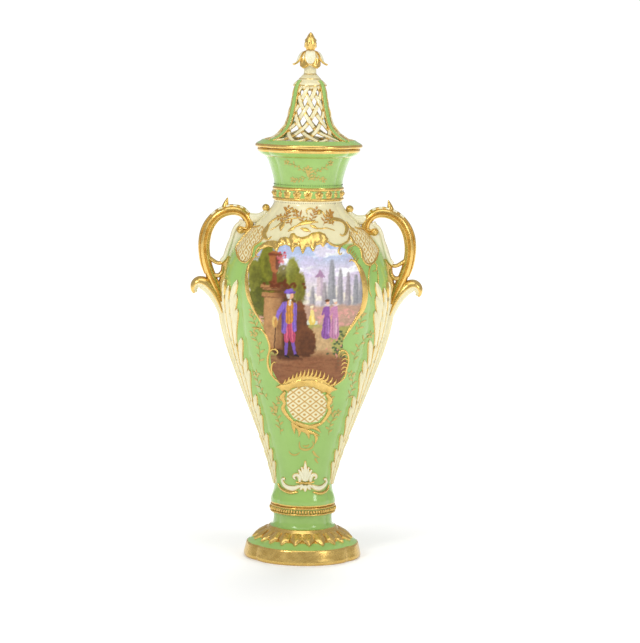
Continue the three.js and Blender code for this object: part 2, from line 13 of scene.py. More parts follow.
import bpy
import numpy as np
from mathutils import Matrix, Vector


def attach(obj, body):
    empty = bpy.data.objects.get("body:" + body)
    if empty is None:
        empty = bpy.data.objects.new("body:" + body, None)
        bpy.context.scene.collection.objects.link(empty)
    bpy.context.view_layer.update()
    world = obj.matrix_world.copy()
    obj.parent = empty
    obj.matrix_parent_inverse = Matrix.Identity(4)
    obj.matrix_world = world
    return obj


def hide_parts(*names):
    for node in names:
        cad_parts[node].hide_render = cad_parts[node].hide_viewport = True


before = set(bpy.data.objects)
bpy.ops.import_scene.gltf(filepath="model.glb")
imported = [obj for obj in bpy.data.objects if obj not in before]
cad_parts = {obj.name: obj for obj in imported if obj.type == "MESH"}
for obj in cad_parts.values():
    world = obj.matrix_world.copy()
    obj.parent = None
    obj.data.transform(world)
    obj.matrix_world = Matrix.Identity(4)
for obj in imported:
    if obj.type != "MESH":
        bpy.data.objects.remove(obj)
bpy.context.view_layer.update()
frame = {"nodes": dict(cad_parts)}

log = logging.getLogger("vase")
Array = np.ndarray
Pair = tuple[float, float]
Colour = tuple[float, float, float]
Material, NodeTree, Socket = bpy.types.Material, bpy.types.NodeTree, bpy.types.NodeSocket
MM = 0.001
FRONT, RIGHT, BACK, LEFT = 0, math.pi / 2, math.pi, 1.5 * math.pi


class Node(Enum):
    """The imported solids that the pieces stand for."""

    BODY = "vase"
    FOOT = "foot"
    RIGHT = "handle_right"
    LEFT = "handle_left"
    COVER = "cover"


class Paint(Enum):
    """Enamel colours, as red, green and blue shares seen on a screen."""

    GREEN = (0.615, 0.765, 0.415)
    FADED = (0.78, 0.69, 0.36)
    OCHRE = (0.74, 0.53, 0.22)
    STRAW = (0.79, 0.62, 0.31)
    CREAM = (0.93, 0.895, 0.73)
    IVORY = (0.94, 0.92, 0.80)
    WHITE = (0.95, 0.94, 0.90)
    GOLD = (0.83, 0.62, 0.22)
    BLACK = (0.07, 0.06, 0.05)

    @property
    def linear(self) -> Array:
        """The colour as light, which is what a mesh keeps."""
        return linear(np.array(self.value))


def linear(colour: Array) -> Array:
    """Turns screen colours into light: share divided by 12.92 when dark, else a power of 2.4."""
    colour = np.clip(np.asarray(colour, float), 0, 1)
    return np.where(colour < 0.04045, colour / 12.92, ((colour + 0.055) / 1.055) ** 2.4)


GREEN, CREAM, IVORY, WHITE, GOLD = (
    paint.linear for paint in (Paint.GREEN, Paint.CREAM, Paint.IVORY, Paint.WHITE, Paint.GOLD))


def spline(points: Array | list, count: int) -> Array:
    """A smooth curve of count points through those given, one a row: between two of them, the
    cubic whose slope at each is half the step from the point before it to the one after."""
    given = np.asarray(points, float)
    last = len(given) - 1
    at = np.linspace(0, last, count)
    i = np.minimum(at.astype(int), last - 1)
    w = (at - i)[:, None]
    before, here, there, after = (given[np.clip(i + k, 0, last)] for k in (-1, 0, 1, 2))
    slope0, slope1 = (there - before) / 2, (after - here) / 2
    return ((2 * here - 2 * there + slope0 + slope1) * w**3
            + (3 * there - 3 * here - 2 * slope0 - slope1) * w**2 + slope0 * w + here)


def even(path: Array, count: int) -> Array:
    """The same path with its points spread evenly along its length."""
    run = np.r_[0, np.cumsum(np.linalg.norm(np.diff(path, axis=0), axis=1))]
    at = np.linspace(0, run[-1], count)
    return np.stack([np.interp(at, run, path[:, k]) for k in range(path.shape[1])], 1)


def eased(share: Array) -> Array:
    """Rises from 0 to 1 with no slope at either end: 3·s² − 2·s³."""
    share = np.clip(share, 0, 1)
    return share * share * (3 - 2 * share)


def unit(vectors: Array) -> Array:
    """Vectors of length 1 with the same directions."""
    return vectors / np.maximum(np.linalg.norm(vectors, axis=-1, keepdims=True), 1e-9)


def around(radius: Array, angle: Array, level: Array) -> Array:
    """Points at a radius from the axis, an angle and a level."""
    radius, angle, level = np.broadcast_arrays(radius, angle, level)
    return np.stack([radius * np.sin(angle), -radius * np.cos(angle), level], -1)


def mottle(x: Array, y: Array, size: float, seed: int, layers: int = 3) -> Array:
    """Smooth noise from 0 to 1: seeded numbers on a lattice, eased between its corners, with layers
    of half the size and half the weight added."""
    total, weight = np.zeros(np.broadcast(x, y).shape), 0
    rng = np.random.default_rng(seed)
    for layer in range(layers):
        lattice = rng.random((64, 64))
        u, v = x / size * 2**layer + 17.3 * layer, y / size * 2**layer + 5.1 * layer
        i, j = np.floor(u).astype(int), np.floor(v).astype(int)
        s, t = eased(u - i), eased(v - j)
        corner = [lattice[(i + a) % 64, (j + b) % 64] for a in (0, 1) for b in (0, 1)]
        share = (corner[0] * (1 - t) + corner[1] * t) * (1 - s) + (corner[2] * (1 - t) + corner[3] * t) * s
        total += share / 2**layer
        weight += 1 / 2**layer
    return total / weight


# --- surfaces


CREASE = math.radians(55)
CREASE_DEPTH = 0.04
CREASE_POWER = 6


def plan(angle: Array) -> Array:
    """Share of the full radius at an angle: 1 − 0.04·|turn from the lobe's middle ÷ half lobe|⁶,
    with wide lobes in front and behind and narrow ones at the sides."""
    angle = np.asarray(angle, float)
    turned = np.mod(angle + CREASE, 2 * math.pi) - CREASE
    side = math.pi / 2 - CREASE
    quarter = np.select([turned <= CREASE, turned < math.pi - CREASE, turned <= math.pi + CREASE],
                        [0, 1, 2], 3)
    half = np.where(quarter % 2 == 0, CREASE, side)
    return 1 - CREASE_DEPTH * np.abs((turned - quarter * math.pi / 2) / half) ** CREASE_POWER


@dataclass(frozen=True)
class Wall:
    """A lobed surface of revolution, known by its outline of [radius, level] pairs going up."""

    outline: Array

    def radius(self, level: Array) -> Array:
        """Full radius at a level."""
        return np.interp(level, self.outline[:, 1], self.outline[:, 0])

    def at(self, angle: Array, level: Array, lift: Array | float = 0) -> Array:
        """Points on the surface, lifted along its normal, which leans down where the wall widens."""
        angle, level, lift = np.broadcast_arrays(angle, level, lift)
        lean = self.radius(level + 0.5) - self.radius(level - 0.5)
        steep = np.sqrt(1 + lean * lean)
        radius = self.radius(level) * plan(angle) + lift / steep
        return around(radius, angle, level - lift * lean / steep)

    def angle(self, across: Array, level: Array, facing: float = FRONT) -> Array:
        """Angle of a point that a viewer facing that side sees so far across from the axis."""
        full = self.radius(level)
        turn = np.arcsin(np.clip(across / full, -0.98, 0.98))
        for _ in range(3):
            turn = np.arcsin(np.clip(across / (full * plan(turn + facing)), -0.985, 0.985))
        return turn + facing

    def seen(self, drawn: Array, facing: float = FRONT) -> Array:
        """Angle and level of points drawn as seen from one side, [across, level] each."""
        drawn = np.asarray(drawn, float)
        return np.stack([self.angle(drawn[..., 0], drawn[..., 1], facing), drawn[..., 1]], -1)


def shares(points: list[Pair], radius: float, low: float, high: float) -> Array:
    """[radius, level] pairs from shares of a radius and of the way from one level to another."""
    return np.array([[r * radius, low + z * (high - low)] for r, z in points])


BODY_FOOT, BODY_TOP, BELLY = 78, 369.5, 84.6
BODY_LINE = spline(shares([(0.353, 0), (0.38, 0.04), (0.4515, 0.11), (0.603, 0.233), (0.77, 0.377),
    (0.9, 0.5), (0.974, 0.6), (1, 0.683), (0.973, 0.762), (0.875, 0.83), (0.709, 0.892), (0.52, 0.946),
    (0.424, 0.982), (0.416, 1)], BELLY, BODY_FOOT, BODY_TOP), 170)
COLLAR_LINE = spline([(32.7, 55.6), (33.4, 57), (33.5, 59.5), (32.9, 62.2), (31.6, 66), (30.6, 70),
    (30, 74)], 14)
NECK_LINE = spline([(35.3, 383.4), (35.4, 389.2), (37.7, 398.5), (40.6, 407.2), (44, 413.8)], 24)
BODY = Wall(np.concatenate([COLLAR_LINE, BODY_LINE]))
NECK = Wall(NECK_LINE)
BELL_LINE = spline(shares([(0.876, 0), (0.69, 0.065), (0.53, 0.18), (0.45, 0.3), (0.395, 0.46),
    (0.352, 0.62), (0.315, 0.8), (0.27, 0.93), (0.2, 1)], 54.8, 430, 491.5), 400)


class Shape:
    """Gathers closed grids of points, in millimetres, into one piece with its paint and gilding."""

    def __init__(self, name: str) -> None:
        """Starts an empty piece of that name."""
        self.name = name
        self.count = 0
        self.points: list[Array] = []
        self.paint: list[Array] = []
        self.gilt: list[Array] = []
        self.faces: list[Array] = []

    def _keep(self, points: Array, paint: Array, gilt: Array | float) -> Array:
        """Keeps points with their colour and gilding, and returns their numbers in the same grid."""
        start = self.count
        self.count += points[..., 0].size
        self.points.append(points.reshape(-1, 3))
        self.paint.append(np.broadcast_to(paint, points.shape).reshape(-1, 3))
        self.gilt.append(np.broadcast_to(gilt, points.shape[:-1]).reshape(-1))
        return np.arange(start, self.count).reshape(points.shape[:-1])

    def _quads(self, low: Array, low_next: Array, high_next: Array, high: Array) -> None:
        """Adds the four-sided faces with these corners."""
        self.faces.append(np.stack([low, low_next, high_next, high], -1).reshape(-1, 4))

    def tube(self, rings: Array, paint: Array, gilt: Array | float = 0) -> None:
        """Adds a skin of closed rings, one a row, that ends in a point at either end.

        Args:
            rings: Rows × columns × 3. Columns turn so that column × row faces out.
            paint: One colour, or one for each point.
            gilt: Share of gold, or one for each point.
        """
        at = self._keep(rings, paint, gilt)
        around = np.roll(at, -1, axis=1)
        self._quads(at[:-1], around[:-1], around[1:], at[1:])
        for row, flip in ((0, True), (-1, False)):
            colours = np.broadcast_to(paint, rings.shape)[row].mean(0)
            share = np.broadcast_to(gilt, rings.shape[:-1])[row].mean()
            pole = np.broadcast_to(self._keep(rings[row].mean(0)[None], colours, share), at[row].shape)
            a, b = (around[row], at[row]) if flip else (at[row], around[row])
            self.faces.append(np.stack([pole, a, b, np.full_like(a, -1)], -1))

    def slab(self, face: Array, back: Array, paint: Array, gilt: Array | float = 0) -> None:
        """Adds a plate between its shown face and its hidden back, with its edges closed. Both are
        rows × columns × 3, column × row facing out; paint and gilt are as for a tube."""
        f, b = self._keep(face, paint, gilt), self._keep(back, paint, gilt)
        self._quads(f[:-1, :-1], f[:-1, 1:], f[1:, 1:], f[1:, :-1])
        self._quads(b[:-1, 1:], b[:-1, :-1], b[1:, :-1], b[1:, 1:])
        self._quads(f[0, 1:], f[0, :-1], b[0, :-1], b[0, 1:])
        self._quads(f[-1, :-1], f[-1, 1:], b[-1, 1:], b[-1, :-1])
        self._quads(f[:-1, 0], f[1:, 0], b[1:, 0], b[:-1, 0])
        self._quads(f[1:, -1], f[:-1, -1], b[:-1, -1], b[1:, -1])

    def ring(self, outline: Array, angles: Array, paint: Array, gilt: Array | float = 0) -> None:
        """Adds a lobed ring turned about the axis from a closed outline of [radius, level] pairs
        that rises on the outside. Paint and gilt are one for all, or one for each pair."""
        colours, golds = np.asarray(paint, float), np.asarray(gilt, float)
        at = self._keep(around(outline[:, :1] * plan(angles), angles, outline[:, 1:]),
                        colours[:, None] if colours.ndim == 2 else colours,
                        golds[:, None] if golds.ndim == 1 else golds)
        right = np.roll(at, -1, axis=1)
        self._quads(at, right, np.roll(right, -1, axis=0), np.roll(at, -1, axis=0))

    def make(self, material: Material, node: Node = Node.BODY,
             smooth: float = 40) -> bpy.types.Object:
        """Makes the mesh, in metres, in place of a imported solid. Edges sharper than smooth, in
        degrees, stay sharp.

        Returns:
            The piece, which rides on the one body.
        """
        points = np.concatenate(self.points) * MM
        faces = np.concatenate(self.faces)
        sides = np.where(faces[:, 3] < 0, 3, 4)
        loops = faces.ravel()[faces.ravel() >= 0]
        mesh = bpy.data.meshes.new(self.name)
        mesh.vertices.add(len(points))
        mesh.vertices.foreach_set("co", points.astype(np.float32).ravel())
        mesh.loops.add(len(loops))
        mesh.loops.foreach_set("vertex_index", loops.astype(np.int32))
        mesh.polygons.add(len(faces))
        mesh.polygons.foreach_set("loop_start", np.r_[0, np.cumsum(sides)[:-1]].astype(np.int32))
        mesh.update(calc_edges=True)
        colour = mesh.color_attributes.new("enamel", "FLOAT_COLOR", "POINT")
        rgba = np.c_[np.concatenate(self.paint), np.ones(len(points))]
        colour.data.foreach_set("color", rgba.astype(np.float32).ravel())
        gilding = mesh.attributes.new("gilding", "FLOAT", "POINT")
        gilding.data.foreach_set("value", np.concatenate(self.gilt).astype(np.float32))
        mesh.polygons.foreach_set("use_smooth", np.ones(len(faces), bool))
        mesh.set_sharp_from_angle(angle=math.radians(smooth))
        mesh.validate()
        piece = bpy.data.objects.new(self.name, mesh)
        bpy.context.scene.collection.objects.link(piece)
        mesh.materials.append(material)
        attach(piece, "root")
        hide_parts(node.value)
        log.info("%s: %d points, %d faces", self.name, len(points), len(faces))
        return piece


def turned_about(count: int) -> Array:
    """That many even angles all the way round, the first at the front."""
    return np.linspace(0, 2 * math.pi, count, endpoint=False)


def joined(parts: list[tuple[Array | list[Pair], Array, float]]) -> tuple[Array, Array, Array]:
    """One outline from parts, each with its colour and its share of gold.

    Returns:
        The pairs, their colours and their shares of gold.
    """
    return (np.concatenate([np.array(pairs, float) for pairs, _, _ in parts]),
            np.concatenate([np.broadcast_to(paint, (len(pairs), 3)) for pairs, paint, _ in parts]),
            np.concatenate([np.full(len(pairs), float(gilt)) for pairs, _, gilt in parts]))


# --- finishes


class Nodes:
    """Short ways to add and join the nodes of a material or a group."""

    def __init__(self, tree: NodeTree) -> None:
        """Works on that tree."""
        self.tree = tree

    def add(self, kind: str, **values: object) -> bpy.types.Node:
        """Adds a node; a value names a property of the node, or an input with its spaces as _."""
        node = self.tree.nodes.new(kind)
        for name, value in values.items():
            if hasattr(node, name):
                setattr(node, name, value)
            else:
                self.put(node.inputs[name.replace("_", " ")], value)
        return node

    def put(self, socket: Socket, value: object) -> None:
        """Links an output to an input, or sets the input's own value."""
        if isinstance(value, Socket):
            self.tree.links.new(value, socket)
        else:
            socket.default_value = value

    def blend(self, share: object, first: object, second: object,
              kind: str = "MIX") -> Socket:
        """Mixes two colours."""
        node = self.add("ShaderNodeMix", data_type="RGBA", blend_type=kind, clamp_factor=True)
        for index, value in ((0, share), (6, first), (7, second)):
            self.put(node.inputs[index], value)
        return node.outputs[2]

    def sum(self, kind: str, first: object, second: object) -> Socket:
        """Joins two numbers by a kind of sum."""
        node = self.add("ShaderNodeMath", operation=kind)
        self.put(node.inputs[0], first)
        self.put(node.inputs[1], second)
        return node.outputs[0]

    def spread(self, value: object, low: float, high: float, to_low: float,
               to_high: float) -> Socket:
        """Moves a number from one span to another, and stops at its ends."""
        node = self.add("ShaderNodeMapRange")
        for index, number in enumerate((value, low, high, to_low, to_high)):
            self.put(node.inputs[index], number)
        return node.outputs[0]


def group(name: str, inputs: list[tuple[str, str, object]], outputs: list[tuple[str, str]]
          ) -> tuple[NodeTree, Nodes, bpy.types.Node, bpy.types.Node]:
    """Starts a node group from its name, the name, socket type and first value of each input,
    and the name and socket type of each output.

    Returns:
        The group, its helper, its input node and its output node.
    """
    tree = bpy.data.node_groups.new(name, "ShaderNodeTree")
    for label, kind, value in inputs:
        tree.interface.new_socket(label, in_out="INPUT", socket_type=kind).default_value = value
    for label, kind in outputs:
        tree.interface.new_socket(label, in_out="OUTPUT", socket_type=kind)
    nodes = Nodes(tree)
    return tree, nodes, nodes.add("NodeGroupInput"), nodes.add("NodeGroupOutput")


@dataclass(frozen=True)
class Effects:
    """Effects that more than one finish uses, as node groups made once."""

    pooling: NodeTree
    burnish: NodeTree
    ripple: NodeTree

    @classmethod
    def made(cls) -> "Effects":
        """Builds the three groups."""
        return cls(cls._pooling(), cls._burnish(), cls._ripple())

    @staticmethod
    def _pooling() -> NodeTree:
        """Enamel that lies thicker in some places: soft noise darkens and deepens the colour."""
        tree, nodes, start, end = group("enamel_pooling", [
            ("Colour", "NodeSocketColor", (1, 1, 1, 1)), ("Scale", "NodeSocketFloat", 60),
            ("Amount", "NodeSocketFloat", 0.1)], [("Colour", "NodeSocketColor")])
        at = nodes.add("ShaderNodeTexCoord").outputs["Object"]
        soft = nodes.add("ShaderNodeTexNoise", Vector=at, Scale=start.outputs["Scale"], Detail=3,
                         Roughness=0.55)
        fine = nodes.add("ShaderNodeTexNoise", Vector=at, Scale=900, Detail=2)
        both = nodes.sum("ADD", nodes.sum("MULTIPLY", soft.outputs["Fac"], 0.75),
                         nodes.sum("MULTIPLY", fine.outputs["Fac"], 0.25))
        share = nodes.sum("MULTIPLY", nodes.spread(both, 0.35, 0.65, 0, 1), start.outputs["Amount"])
        deep = nodes.blend(1, start.outputs["Colour"], (0.72, 0.74, 0.62, 1), "MULTIPLY")
        nodes.put(end.inputs["Colour"], nodes.blend(share, start.outputs["Colour"], deep))
        return tree

    @staticmethod
    def _burnish() -> NodeTree:
        """Hand-burnished gold: rubbing marks and worn specks change its tone and its roughness."""
        tree, nodes, start, end = group("gold_burnish", [
            ("Scale", "NodeSocketFloat", 120), ("Rubbing", "NodeSocketFloat", 0.5)],
            [("Colour", "NodeSocketColor"), ("Roughness", "NodeSocketFloat"), ("Kept", "NodeSocketFloat")])
        at = nodes.add("ShaderNodeTexCoord").outputs["Object"]
        drawn = nodes.add("ShaderNodeMapping", Scale=(1, 1, 1.8), Vector=at).outputs["Vector"]
        rub = nodes.add("ShaderNodeTexNoise", Vector=drawn, Scale=start.outputs["Scale"],
                        Detail=4).outputs["Fac"]
        tone = nodes.spread(rub, 0.1, 0.9, 0, 1)
        nodes.put(end.inputs["Colour"], nodes.blend(tone, (0.62, 0.39, 0.095, 1), (0.84, 0.60, 0.20, 1)))
        nodes.put(end.inputs["Roughness"], nodes.spread(rub, 0.3, 0.75, 0.20, 0.34))
        specks = nodes.add("ShaderNodeTexNoise", Vector=at, Scale=700, Detail=3).outputs["Fac"]
        worn = nodes.sum("MULTIPLY", nodes.spread(specks, 0.64, 0.70, 0, 0.6), start.outputs["Rubbing"])
        nodes.put(end.inputs["Kept"], nodes.sum("SUBTRACT", 1, worn))
        return tree

    @staticmethod
    def _ripple() -> NodeTree:
        """The slow wave of a fired glaze, as a normal."""
        tree, nodes, start, end = group("glaze_ripple", [
            ("Scale", "NodeSocketFloat", 45), ("Strength", "NodeSocketFloat", 0.1)],
            [("Normal", "NodeSocketVector")])
        at = nodes.add("ShaderNodeTexCoord").outputs["Object"]
        wave = nodes.add("ShaderNodeTexNoise", Vector=at, Scale=start.outputs["Scale"],
                         Detail=2).outputs["Fac"]
        bump = nodes.add("ShaderNodeBump", Strength=start.outputs["Strength"], Distance=0.0006, Height=wave)
        nodes.put(end.inputs["Normal"], bump.outputs["Normal"])
        return tree


def started(name: str) -> tuple[Material, Nodes, bpy.types.bpy_prop_collection]:
    """A new material, its nodes, and the inputs of its shader."""
    material = bpy.data.materials.new(name)
    material.use_nodes = True
    return material, Nodes(material.node_tree), material.node_tree.nodes["Principled BSDF"].inputs


@dataclass(frozen=True)
class Enamel:
    """Painted and gilt glazed porcelain; the mesh says what colour and how much gold is where."""

    name: str
    pooling: float = 0.3
    pooling_scale: float = 40
    rough: float = 0.13
    ripple: float = 0.25
    rubbing: float = 0.25
    mirror: float = 0.5

    def material(self, effects: Effects) -> Material:
        """Builds the finish from the shared effects."""
        material, nodes, shader = started(self.name)
        colour = nodes.add("ShaderNodeAttribute", attribute_name="enamel").outputs["Color"]
        gilt = nodes.add("ShaderNodeAttribute", attribute_name="gilding").outputs["Fac"]
        pooled = nodes.add("ShaderNodeGroup", node_tree=effects.pooling, Colour=colour,
                           Scale=self.pooling_scale, Amount=self.pooling).outputs["Colour"]
        gold = nodes.add("ShaderNodeGroup", node_tree=effects.burnish, Rubbing=self.rubbing).outputs
        wave = nodes.add("ShaderNodeGroup", node_tree=effects.ripple, Strength=self.ripple)
        share = nodes.sum("MULTIPLY", nodes.spread(gilt, 0.35, 0.65, 0, 1), gold["Kept"])
        rougher = nodes.sum("MULTIPLY", share, nodes.sum("SUBTRACT", gold["Roughness"], self.rough))
        nodes.put(shader["Base Color"], nodes.blend(share, pooled, gold["Colour"]))
        nodes.put(shader["Metallic"], nodes.sum("MULTIPLY", share, 0.8))
        nodes.put(shader["Roughness"], nodes.sum("ADD", self.rough, rougher))
        nodes.put(shader["Normal"], wave.outputs["Normal"])
        nodes.put(shader["IOR"], 1.52)
        nodes.put(shader["Specular IOR Level"], self.mirror)
        return material


@dataclass(frozen=True)
class Gold:
    """Burnished gold over relief."""

    name: str = "burnished_gold"
    scale: float = 120
    metal: float = 0.82
    ripple: float = 0.5
    ripple_scale: float = 90

    def material(self, effects: Effects) -> Material:
        """Builds the finish: metal, browner and rougher where it is less rubbed."""
        material, nodes, shader = started(self.name)
        gold = nodes.add("ShaderNodeGroup", node_tree=effects.burnish, Scale=self.scale)
        wave = nodes.add("ShaderNodeGroup", node_tree=effects.ripple, Scale=self.ripple_scale,
                         Strength=self.ripple)
        nodes.put(shader["Base Color"], gold.outputs["Colour"])
        nodes.put(shader["Roughness"], gold.outputs["Roughness"])
        nodes.put(shader["Metallic"], self.metal)
        nodes.put(shader["Normal"], wave.outputs["Normal"])
        return material


@dataclass(frozen=True)
class Finishes:
    """The materials of the whole vase."""

    enamel: Material
    picture: Material
    gold: Material

    @classmethod
    def made(cls) -> "Finishes":
        """Builds them from one set of effects."""
        effects = Effects.made()
        return cls(Enamel("glazed_enamel").material(effects),
                   Enamel("painted_enamel", pooling=0.22, pooling_scale=320, rough=0.3,
                          mirror=0.22).material(effects),
                   Gold().material(effects))


# --- ornament laid on a wall


@dataclass(frozen=True)
class Stroke:
    """A raised line of gold or enamel: a path drawn on a wall, with its half widths and height."""

    path: tuple[float, ...] | tuple[Pair, ...]
    widths: tuple[float, ...] = (0.2, 1, 0.2)
    height: float = 0.8
    steps: int = 26

    def wider(self, share: float) -> "Stroke":
        """The same line with its widths times a share."""
        return Stroke(self.path, tuple(w * share for w in self.widths), self.height, self.steps)

    def lay(self, shape: Shape, wall: Wall, paint: Array = GOLD, gilt: float = 1, facing: float = FRONT,
            sides: int = 8) -> None:
        """Adds the line to a piece, drawn for the side it faces: at each step of its smooth path,
        an oval of so many sides, as wide as it is there and as high as it says, half sunk in."""
        drawn = even(spline(np.reshape(self.path, (-1, 2)), self.steps * 3), self.steps)
        half = np.maximum(spline([(w,) for w in self.widths], self.steps)[:, 0], 0.05)
        lie(shape, wall, wall.seen(drawn, facing), half, self.height, paint, gilt, sides)


def strokes(*rows: tuple) -> tuple[Stroke, ...]:
    """Lines from rows of [across, level, across, level and so on], widths, height and steps."""
    return tuple(Stroke(*row) for row in rows)


def lie(shape: Shape, wall: Wall, places: Array, half: Array, height: Array | float, paint: Array,
        gilt: float = 1, sides: int = 8) -> None:
    """Adds an oval cord along places on a wall, [angle, level] each: sideways by its half width
    times the cosine, and off the wall by its height times the sine, of a turn round the oval."""
    base = wall.at(places[:, 0], places[:, 1], 0.35)
    out = unit(wall.at(places[:, 0], places[:, 1], 1.35) - base)
    along = unit(np.gradient(base, axis=0))
    aside = unit(np.cross(along, out))
    turn = turned_about(sides) + math.pi / sides
    high = np.broadcast_to(np.minimum(height, half * 1.4), half.shape)
    rings = (base[:, None] + aside[:, None] * (half[:, None] * np.cos(turn))[..., None]
             - out[:, None] * (high[:, None] * np.sin(turn))[..., None])
    shape.tube(rings[:, ::-1], paint, gilt)


@dataclass(frozen=True)
class Relief:
    """A lumpy raised patch between two drawn edges, both going from left to right."""

    top: tuple[Pair, ...]
    bottom: tuple[Pair, ...]
    height: float = 2
    size: tuple[int, int] = (18, 200)

    def lay(self, shape: Shape, wall: Wall, facing: float = FRONT) -> None:
        """Adds the patch in gold. Across it the height follows a dome, the square root of
        1 − |2v − 1|^2.4, and along it flutes of a cosine and seeded lumps."""
        rows, columns = self.size
        across = np.linspace(self.top[0][0], self.top[-1][0], columns)
        low, high = (np.interp(across, *np.array(edge).T) for edge in (self.bottom, self.top))
        soft = np.ones(5) / 5
        low, high = (np.convolve(np.pad(line, 2, "edge"), soft, "valid") for line in (low, high))
        v = np.linspace(0, 1, rows)[:, None]
        drawn = np.stack([across + 0 * v, low * (1 - v) + np.maximum(high, low + 0.2) * v], -1)
        dome = np.sqrt(np.clip(1 - np.abs(2 * v - 1) ** 2.4, 0, 1))
        flutes = 0.5 + 0.5 * np.cos(drawn[..., 0] * math.pi / 3.1 + 2.6 * v)
        lift = self.height * dome * (0.5 + 0.14 * flutes + 0.6 * mottle(drawn[..., 0], drawn[..., 1], 6, 3))
        at = wall.seen(drawn, facing)
        shape.slab(wall.at(at[..., 0], at[..., 1], 0.45 + lift), wall.at(at[..., 0], at[..., 1], -1),
                   GOLD, 1)


def plate(left: tuple[Pair, ...], right: tuple[Pair, ...], bottom: tuple[Pair, ...],
          top: tuple[Pair, ...], size: tuple[int, int]) -> Array:
    """Points of a patch between four drawn edges: a share across between left and right, plus a
    share up between bottom and top, less the share that both count, that of the four corners.

    Returns:
        The patch as drawn, rows × columns × [across, level].
    """
    rows, columns = size
    v, u = np.linspace(0, 1, rows)[:, None, None], np.linspace(0, 1, columns)[None, :, None]
    lf, rt = even(spline(left, 200), rows)[:, None], even(spline(right, 200), rows)[:, None]
    bt, tp = even(spline(bottom, 200), columns)[None], even(spline(top, 200), columns)[None]
    corners = ((1 - u) * (1 - v) * lf[0, 0] + u * (1 - v) * rt[0, 0] + (1 - u) * v * lf[-1, 0] + u * v *
        rt[-1, 0])
    return (1 - u) * lf + u * rt + (1 - v) * bt + v * tp - corners


# --- the vase


@dataclass
class BodyShell:
    """The hollow casting from the foot's bead ring up to the lip, with its coloured grounds."""

    wall: float = 4.6
    floor: float = 86
    columns: int = 216
    shoulder: float = 329
    flank_reach: float = 24
    leaf_top: float = 272

    def ground(self, angle: Array, level: Array) -> Array:
        """Colours of the body: green below the shoulder line and cream above it, and cream again
        under the leaves of the flanks."""
        turn = np.abs(np.mod(angle + math.pi / 2, math.pi) - math.pi / 2)
        flank = np.degrees(np.abs(np.pi / 2 - turn))
        leafy = eased((self.flank_reach - flank) / 2 + 0.5) * eased((self.leaf_top - level) / 8 + 0.5)
        share = np.maximum(eased((level - self.shoulder) / 2 + 0.5), leafy)[..., None]
        return GREEN * (1 - share) + CREAM * share

    def outline(self) -> tuple[Array, Array, Array, slice]:
        """Outline from under the bead ring, up the outside, over the lip and down to the floor.

        Returns:
            The pairs, their colours, their shares of gold, and which of them are the body's.
        """
        inner = np.concatenate([BODY_LINE[12::5], [[35.3, 376]], NECK_LINE[2::4]])
        along = unit(np.gradient(inner, axis=0))
        inside = inner + self.wall * np.stack([-along[:, 1], along[:, 0]], 1)
        inside = inside[(inside[:, 1] > self.floor + 2) & (inside[:, 1] < 410)]
        below = [([(0.01, 45.9), (30, 45.9), (31.2, 46.6), (32.6, 47.4), (32.8, 52.8), (32.6, 53.6),
            (31.9, 54.2)], GREEN, 0), ([(31.9, 54.5), (32.3, 55.1), (32.9, 55.5), (33.2, 56.2),
            (33.2, 56.9)], GREEN, 1), ([(33.3, 57.2), (33.5, 59.4), (33.1, 61.6), (32.4, 63.8), (31.6, 66),
            (30.9, 68.6), (30.3, 71.4), (29.95, 74.2), (29.8, 76.5)], GREEN, 0)]
        start = sum(len(pairs) for pairs, _, _ in below)
        pairs, paint, gilt = joined([*below, (BODY_LINE[1:-1], GREEN, 0), ([(35.2, 369.4)], CREAM, 0),
            ([(35.4, 369.8), (36.3, 370.2), (36.7, 371.1), (36.4, 372), (35.8, 372.4)], CREAM, 1),
            ([(35.55, 372.8), (35.5, 376.2), (35.55, 379.8)], GREEN, 0), ([(35.8, 380.2), (36.4, 380.7),
            (36.7, 381.6), (36.3, 382.5), (35.4, 382.9)], GREEN, 1), (NECK_LINE, GREEN, 0), ([(44.4, 414.1),
            (46.2, 414.5)], GREEN, 1), ([(47.2, 414.9), (49, 415.9), (50.6, 417.3), (51.4, 418.4)], GREEN,
            0), ([(51.9, 419.2), (52.5, 420.4), (52.5, 421.5), (52, 422.3), (51.2, 422.7)], GREEN, 1),
            ([(50.4, 422.7), (42, 422.7), (41, 422.4), (40.4, 421.6)], WHITE, 0), (inside[::-1], WHITE, 0),
            ([(25, self.floor + 1), (23, self.floor), (0.01, self.floor)], WHITE, 0)])
        return pairs, paint, gilt, slice(start, start + len(BODY_LINE) - 2)

    def build(self, finishes: Finishes) -> None:
        """Makes the shell."""
        pairs, paint, gilt, body = self.outline()
        angles = turned_about(self.columns)
        colours = np.repeat(paint[:, None], self.columns, 1)
        colours[body] = self.ground(angles[None], pairs[body, 1][:, None])
        shape = Shape("body_shell")
        shape.tube(around(pairs[:, :1] * plan(angles), angles, pairs[:, 1:]), colours, gilt[:, None])
        shape.make(finishes.enamel, smooth=50)


